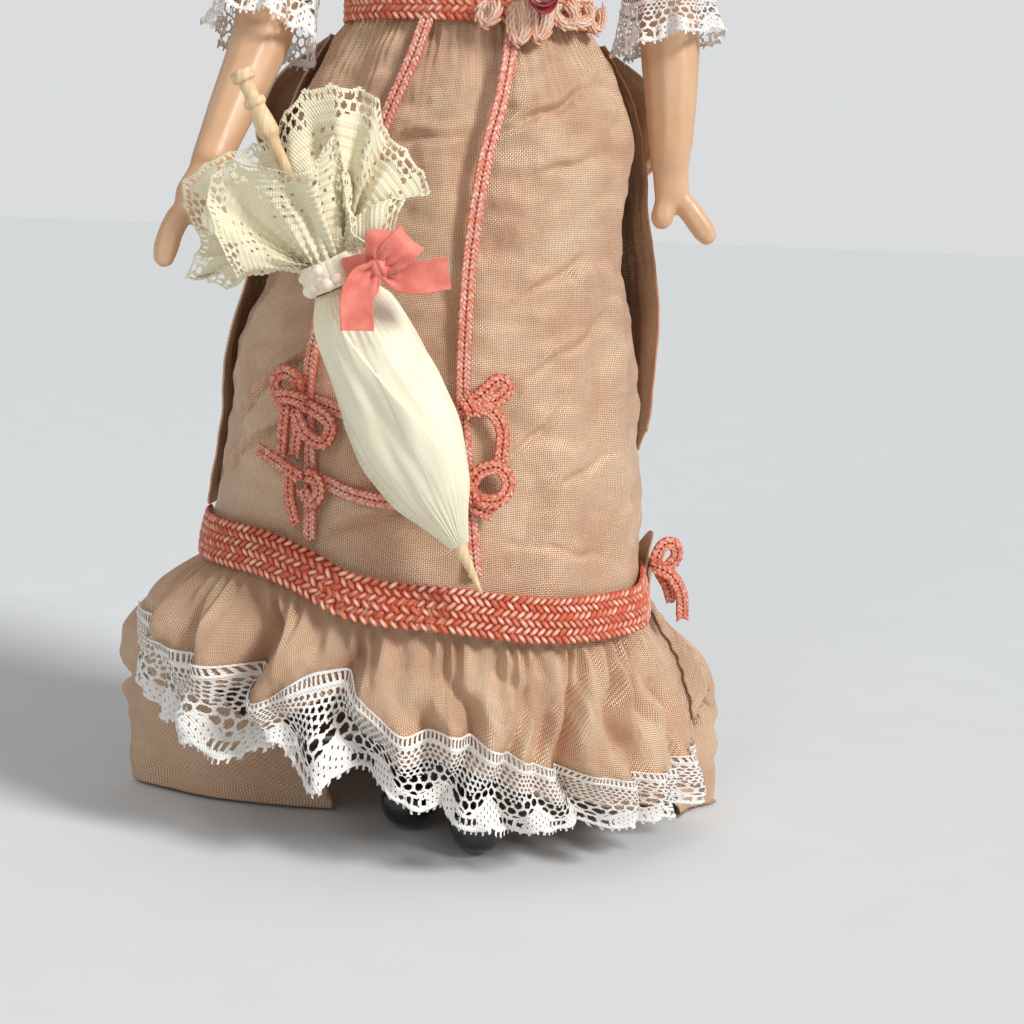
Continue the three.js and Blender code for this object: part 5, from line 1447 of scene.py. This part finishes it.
def build_sleeve(side):
    arm = Arm(*ARMS[side])
    end = arm.share_at(SLEEVE_LENGTH)
    body = f"{side}_arm"

    def sleeve_surface(u, v):
        angle = 360 * u
        s = 0.02 + end * v
        dome = np.sqrt(np.clip(1 - (1 - np.minimum(s / SLEEVE_TOP, 1)) ** 2, 0, 1))
        across = wrapped(angle) * 0.09
        creases = 0.2 * crinkle(across, 0.8 * s, 3, 8, seed=61, sharp=0.35)
        gathers = 0.22 * np.sin(across * 7 + np.sin(2 * across)) * (bump(s, 3, 5) + bump(s, end, 3))
        points = arm.around(s, angle, dome * (sleeve_radius(s) - 0.1 + creases + gathers))
        # The side towards the bodice lies flat
        points[..., 0] = arm.sign * np.maximum(np.abs(points[..., 0]), SLEEVE_INNER)
        return points

    def outside_joint(points):
        across, deep, high = points.T
        flat = np.abs(across) < SLEEVE_INNER + 0.02
        return ~flat | (np.hypot(deep, high - SHOULDER_Z) > GATHERS["radius"])

    def gathers_surface(u, v):
        turn = 360 * u - 180
        x = GATHERS["from"] + (GATHERS["to"] - GATHERS["from"]) * v
        radius = GATHERS["radius"] + GATHERS["flare"] * v + 0.12 * sin_deg(GATHERS["folds"] * turn)
        return stack(arm.sign * x, -radius * sin_deg(turn), SHOULDER_Z + radius * cos_deg(turn))

    sleeve = Pieces()
    sleeve.add(*cloth_grid(sleeve_surface, 260, 200, outside_joint))
    sleeve.add(*cloth_grid(gathers_surface, 300, 12))
    silk = thicken(sleeve.build(f"{side}_sleeve_silk", SILK, body), CLOTH_THICKNESS)
    stand_for(silk, f"{side}_sleeve")

    trim_at = np.full(160, arm.share_at(SLEEVE_LENGTH - 2.2) + 0.8)
    round_sleeve = arm.around(trim_at, np.linspace(0, 360, 160), np.full(160, 5.6))
    strip = Strip(round_sleeve, unit(round_sleeve - arm.strip.at(trim_at, arm.strip.path)))
    trim = Pieces()
    add_tube(trim, strip, 0, 0.1, 0.78, 0.3, sides=10, ends=False)
    for column, w in ((-1, -0.42), (1, 0.42)):
        add_leaves(trim, strip, w, 0.26, 32 * column, 0.6, (0.95, 0.52, 0.24), rings=4)
    stand_for(trim.build(f"{side}_sleeve_plait", CORAL, body), f"{side}_sleeve_trim")

    cuff_from = arm.share_at(SLEEVE_LENGTH + 0.3)
    cuff_length, shorter = CUFFS[side]

    def cuff_surface(u, v):
        angle = 360 * u
        ripple = 0.75 * v * sin_deg(7 * angle) + 0.25 * v * sin_deg(19 * angle + 40)
        place = cuff_from + (cuff_length - shorter * sin_deg(angle)) * v
        return arm.around(place, angle, 4.9 + 0.6 * v + ripple)

    cuff = lace(f"{side}_cuff_edging", cuff_surface, 39, 7.6, edging(7.6, 5.5), WHITE_LACE, body, cell=0.13)
    stand_for(cuff, f"{side}_cuff_lace")


for side in ARMS:
    build_sleeve(side)


def collar_surface(u, v):
    ripple = 0.3 * (1 - v) * sin_deg(9 * 360 * u)
    radius = 4.4 + (1 - v) * 0.5 + ripple
    return ring(radius, 360 * u, 128.9 + 2.3 * (1 - v))


def collar_pattern(s, d):
    """Narrow lace: a scalloped upper edge over one row of eyelets."""
    edge = 0.35 + 0.3 * np.abs(np.sin(math.pi * s / 1.6))
    holes = ((s / 0.8) % 1 - 0.5) ** 2 * 0.64 + (d - 1.1) ** 2 < 0.06
    return (d > edge) & ~holes, bump(d, edge + 0.15, 0.2) + bump(d, 2.0, 0.2)


collar = lace("collar_edging", collar_surface, 30, 2.4, collar_pattern, WHITE_LACE, "torso", cell=0.1)
stand_for(collar, "collar_lace")

# The parasol, measured from its tip up the stick

PARASOL_TIP = np.array([3.1, -20.2, 30.8])
PARASOL_KNOB = np.array([-21.6, -22.4, 81.2])
PARASOL_LENGTH = float(np.linalg.norm(PARASOL_KNOB - PARASOL_TIP))
CANOPY_START, CANOPY_END = 5.7, 34.0
BAND_START, BAND_END = 34.3, 36.9
stick_turn = Vector((0, 0, 1)).rotation_difference(Vector(PARASOL_KNOB - PARASOL_TIP))
PARASOL_AXES = np.array(stick_turn.to_matrix())


def in_parasol(points):
    """From the parasol's own frame, with Z up the stick, to the figure's."""
    return PARASOL_TIP + points @ PARASOL_AXES.T


def lathe_surface(outline):
    """A turned form of the parasol from its (radius, height) outline."""
    r, s = np.array(outline, float).T
    reach = np.concatenate([[0], np.cumsum(np.hypot(np.diff(r), np.diff(s)))])

    def surface(u, v):
        radius, height = (np.interp(v * reach[-1], reach, values) for values in (r, s))
        return in_parasol(ring(radius, 360 * u, height))

    return surface


def rounded(outline, count=160):
    return smooth_path(np.column_stack([np.array(outline, float), np.zeros(len(outline))]), count)[:, :2]


# The knob's outline, as (radius, distance from the stick's top)
KNOB = [(0.6, -12), (0.62, -8.6), (0.74, -6.9), (1.02, -6.3), (1.0, -5.2), (0.86, -4), (0.84, -3.7),
        (1.06, -3.45), (1.05, -2.95), (0.74, -2.7), (0.7, -1.9), (0.76, -1.2), (1.1, -1), (1.14, -0.55),
        (1.08, -0.1), (0.9, 0.02), (0.02, 0.05)]
SHAFT = [(0.01, 0.05), (0.16, 0.2), (0.4, 2.6), (0.62, 4.8), (0.72, 5.5), (0.6, PARASOL_LENGTH - 12.2)]
turned = np.vstack([SHAFT, rounded(np.array(KNOB) + [0, PARASOL_LENGTH], 240)])
stick = cloth("stick_turned", lathe_surface(turned), 48, 420, WOOD, "right_arm", thickness=0)
stand_for(stick, "parasol_stick")

canopy_radius = along([(5.4, 0.95), (8, 2.1), (12, 4.1), (18, 5.4), (24, 5.1), (31, 4.2), (34, 2.6)])


def canopy_surface(u, v):
    """The rolled cover: broad wraps that turn slowly round the stick, and fine drag lines."""
    s = CANOPY_START + (CANOPY_END - CANOPY_START) * v
    turn = 360 * u
    swell = np.sin(math.pi * v)
    wrap = (turn + 40 + 3.2 * s) / 120
    edge = (wrap % 1) ** 3
    wraps = 0.75 * swell * (edge - 0.25)
    dimple = -0.9 * bump(wrapped(turn), -18, 20) * bump(s, 21, 5)
    across = turn * 0.08
    drag = 0.1 * swell * crinkle(across * 2.4, 0.35 * s, 1.8, 6, seed=71, sharp=0.3)
    gather = np.sin(across * 9) * (0.16 * bump(v, 1, 0.15) + 0.06 * bump(v, 0, 0.2))
    r = canopy_radius(s) - 0.1 + wraps + dimple + drag + gather
    return in_parasol(stack(r * sin_deg(turn), -0.76 * r * cos_deg(turn), s))


canopy = cloth("canopy_rolled", canopy_surface, 360, 320, LAWN, "right_arm", thickness=0)
stand_for(canopy, "parasol_canopy")


def band_surface(u, v):
    radius = 2.5 + 0.42 * np.sin(math.pi * v) + 0.05 * np.sin(2 * math.pi * 24 * u)
    return in_parasol(ring(radius, 360 * u, BAND_START + (BAND_END - BAND_START) * v))


band = cloth("band_cloth", band_surface, 192, 24, LAWN, "right_arm")


def add_ball(pieces, at, radius, sides=20):
    turn, polar = unit_grid(sides, sides // 2)
    turn, polar = 2 * math.pi * turn, math.pi * polar
    ball = stack(np.sin(polar) * np.sin(turn), -np.sin(polar) * np.cos(turn), -np.cos(polar))
    pieces.add(at + radius * ball, grid_faces(*turn.shape), np.stack([turn, polar], axis=-1))


# Two rounds of uneven pearls on the band, as (height, radius, count)
pearls = Pieces()
for s, radius, count in ((34.95, 0.74, 13), (36.3, 0.62, 15)):
    for k in range(count):
        turn = 2 * math.pi * (k + 0.5 + 0.25 * rng.standard_normal()) / count
        lift = s + 0.18 * float(rng.standard_normal())
        seat = in_parasol(np.array([2.78 * math.sin(turn), -2.78 * math.cos(turn), lift]))
        add_ball(pearls, seat, radius * (0.72 + 0.4 * rng.random()))
stand_for(pearls.build("band_pearls", PEARL, "right_arm"), "parasol_band")

RUFFLE_LENGTH, RUFFLE_WIDTH = 98, 13
# The lace ruffle stands up from the band: its rim, walked round from the lower right
RIM = [
    (-27.6, -17.2, 61), (-26.6, -15.2, 65.2), (-28.7, -14.7, 70.3), (-25.6, -14.6, 73), (-21.9, -15.2, 74.7),
    (-18.9, -17.2, 76), (-15.8, -18.5, 80.4), (-11.9, -18.9, 80.9), (-8.9, -19.5, 80.2), (-7.7, -20, 76.8),
    (-5.3, -20.5, 74.5), (-3.1, -22, 71), (-5.5, -23.5, 69.3), (-7.2, -24.5, 65.5), (-10.6, -24.9, 66.3),
    (-11.7, -23.7, 71.4), (-12.7, -24.1, 76.2), (-13.5, -26.1, 73.9), (-15.9, -26.7, 72.4),
    (-19, -26.7, 72.4), (-22.4, -26.1, 73.2), (-24.3, -26.3, 70.5), (-23.3, -26.1, 65.5),
    (-21.4, -25.5, 61.4),
]
rim = smooth_path(RIM + RIM[:1], 900)
ruffle_root = in_parasol(np.array([0, 0, BAND_END]))
stick_axis = PARASOL_AXES[:, 2]
rim_share = np.linspace(0, 1, 900)


def ruffle_surface(u, v):
    """From the rim (v = 0) down to the gathered root."""
    at = sampled(u % 1.0001, rim_share, rim)
    away = unit(at - ruffle_root)
    turn = 2 * math.pi * u
    round_stick = unit(away - (away @ stick_axis)[..., None] * stick_axis)
    root = ruffle_root + 1.9 * round_stick
    spread = (1 - v)[..., None]
    ruff = 0.75 * np.sin(15 * turn + 2 * np.sin(3 * turn)) * np.sin(math.pi * np.clip(v, 0, 1)) ** 0.6
    fine = 0.3 * np.sin(47 * turn + 2 * np.sin(5 * turn)) * v**1.5
    fine = fine + 0.12 * crinkle(RUFFLE_LENGTH * u, RUFFLE_WIDTH * v, 3, 8, seed=81)
    sag = 1.2 * np.sin(math.pi * v)
    outward = unit(np.cross(np.gradient(at, axis=1), away))
    return root + (at - root) * spread + outward * (ruff + fine + sag)[..., None]


def ruffle_pattern(s, d):
    """Dense cream edging: ribs along the rim, groups of eyelets near it, and a small scalloped edge."""
    edge = 0.3 + 0.45 * np.abs(np.sin(math.pi * s / 2.6))
    group = np.cos(2 * math.pi * s / 7.8)
    eyelets = (np.abs(d - 2.3 + 0.6 * group) < 0.9) & (group > -0.2) & hex_holes(s, d, 0.95, 0.32)
    slits = (d > edge + 0.35) & (d < edge + 0.8) & ((s / 0.6) % 1 < 0.35)
    seeds = (d > 3.4) & (d < 8) & (group < 0.3) & hex_holes(s, d, 1.3, 0.2)
    ribs = bump(d, edge + 0.15, 0.2) + 0.5 * np.cos(2 * math.pi * d / 0.85)
    return (d > edge) & ~eyelets & ~slits & ~seeds, ribs


ruffle_size = (RUFFLE_LENGTH, RUFFLE_WIDTH)
ruffle = lace("ruffle_edging", ruffle_surface, *ruffle_size, ruffle_pattern, CREAM_LACE, "right_arm")
stand_for(ruffle, "parasol_lace")

# Satin ribbon: each strand is a flat band along its own line, with its width turned to `aside`

BOW_SEAT = np.array([4.6, -4.4, 34.4])


def ribbon_surface(points, aside, width=3.2, curl=0.25):
    path = smooth_path(in_parasol(BOW_SEAT + np.array(points, float)), 200)
    aside = unit(PARASOL_AXES @ np.array(aside, float))
    tangent = unit(np.gradient(path, axis=0))
    across = unit(aside - (tangent @ aside)[:, None] * tangent)
    lift = np.cross(tangent, across)
    share = np.linspace(0, 1, 200)

    def surface(u, v):
        at, cross, up = (sampled(u, share, rows) for rows in (path, across, lift))
        pinch = 0.45 + 0.55 * step(np.minimum(u, 1.2), 0, 0.3)
        w = (v - 0.5) * width * pinch
        pleat = 0.3 * (1 - step(u, 0, 0.4)) * np.sin(v * 6 * math.pi) + curl * (2 * v - 1) ** 2
        return at + w[..., None] * cross + pleat[..., None] * up

    return surface


STRANDS = (
    ((0, 0, 1), [(0, 0, 0), (-1.7, 0.75, 0.3), (-3.4, 1.1, 0.6)]),
    ((0.88, 0, -0.48), [(0, 0, 0), (0.7, -1.1, 1.2), (1.5, -1.3, 2.7), (1.8, -0.4, 3.1), (1.3, 0.3, 2),
                        (0.2, 0.4, 0.3)]),
    ((-0.35, 0, 0.94), [(0, 0, 0), (1.4, -1.1, 0.5), (3.1, -1.2, 1.1), (3.6, -0.4, 1.3), (2.7, 0.3, 0.9),
                        (0.4, 0.4, 0.1)]),
    ((0.85, 0.1, -0.5), [(-0.2, -0.3, 0.2), (-2.9, -1, -1.3), (-4.4, -1.2, -4.4)]),
    ((0.2, 0, 1), [(0, -0.3, 0), (2.6, -0.6, -2.1), (5.7, -0.4, -3)]),
)
ribbon = Pieces()
for aside, points in STRANDS:
    ribbon.add(*cloth_grid(ribbon_surface(points, aside), 120, 24))
wrap = rounded([(0.02, -1), (0.55, -0.9), (0.95, -0.4), (1.0, 0.2), (0.7, 0.85), (0.02, 1)], 40)
turn, k = np.meshgrid(np.linspace(0, 360, 61), np.arange(40))
creased = wrap[k, 0] * (1 + 0.07 * sin_deg(9 * turn))
knot = in_parasol(BOW_SEAT + ring(creased, turn, wrap[k, 1]))
ribbon.add(knot, grid_faces(40, 61), np.stack([np.deg2rad(turn) * 1.4, wrap[k, 1]], axis=-1))
satin = thicken(ribbon.build("ribbon_bow_satin", CORAL_RIBBON, "right_arm"), RIBBON_THICKNESS)
stand_for(satin, "parasol_ribbon")


# Camera, light and floor

camera_data = bpy.data.cameras.new("camera")
camera_data.lens = 62.51
camera_data.sensor_width = 36
camera_data.clip_start = 0.01
camera = bpy.data.objects.new("camera", camera_data)
camera_axes = np.array([[0.99831, -0.04195, 0.04030],
                        [-0.03177, 0.18712, 0.98182],
                        [-0.04873, -0.98144, 0.18548]])
camera_place = np.eye(4)
camera_place[:3, :3] = camera_axes.T
camera_place[:3, 3] = np.array([0.128, -195.7, 72.4525]) * MM
camera.matrix_world = Matrix(camera_place.tolist())
scene = bpy.context.scene
scene.collection.objects.link(camera)
scene.camera = camera


def aim(light, place, target=(0, 0, 0.07)):
    lamp = bpy.data.objects.new(light.name, light)
    lamp.location = place
    lamp.rotation_euler = (Vector(target) - Vector(place)).to_track_quat("-Z", "Y").to_euler()
    scene.collection.objects.link(lamp)


key = bpy.data.lights.new("key", "SUN")
key.energy = 2.7
key.angle = math.radians(16)
aim(key, (0.75, -0.55, 0.75))

window = bpy.data.lights.new("window", "AREA")
window.shape = "DISK"
window.size = 0.12
window.energy = 0.2
aim(window, (-0.16, -0.34, 0.3))

world = bpy.data.worlds.new("studio")
world.use_nodes = True
sky = world.node_tree
background = sky.nodes["Background"]
path = sky.nodes.new("ShaderNodeLightPath")
seen = sky.nodes.new("ShaderNodeMix")
seen.inputs["A"].default_value = 0.56
seen.inputs["B"].default_value = 1.0
sky.links.new(path.outputs["Is Camera Ray"], seen.inputs["Factor"])
sky.links.new(seen.outputs["Result"], background.inputs["Strength"])
background.inputs["Color"].default_value = linear(218, 220, 222)
scene.world = world
scene.view_settings.view_transform = "Standard"

bpy.ops.mesh.primitive_plane_add(size=4, location=(0, 0, -0.0002))
floor = bpy.context.object
floor.name = "floor"
floor_paint = Shader("floor_paint", Roughness=0.9)
grit = floor_paint.noise(floor_paint.place.outputs["Object"], 90.0, 2)
floor_paint.color(floor_paint.mix(grit, linear(222, 224, 225), linear(227, 229, 229)))
floor.data.materials.append(floor_paint.material)
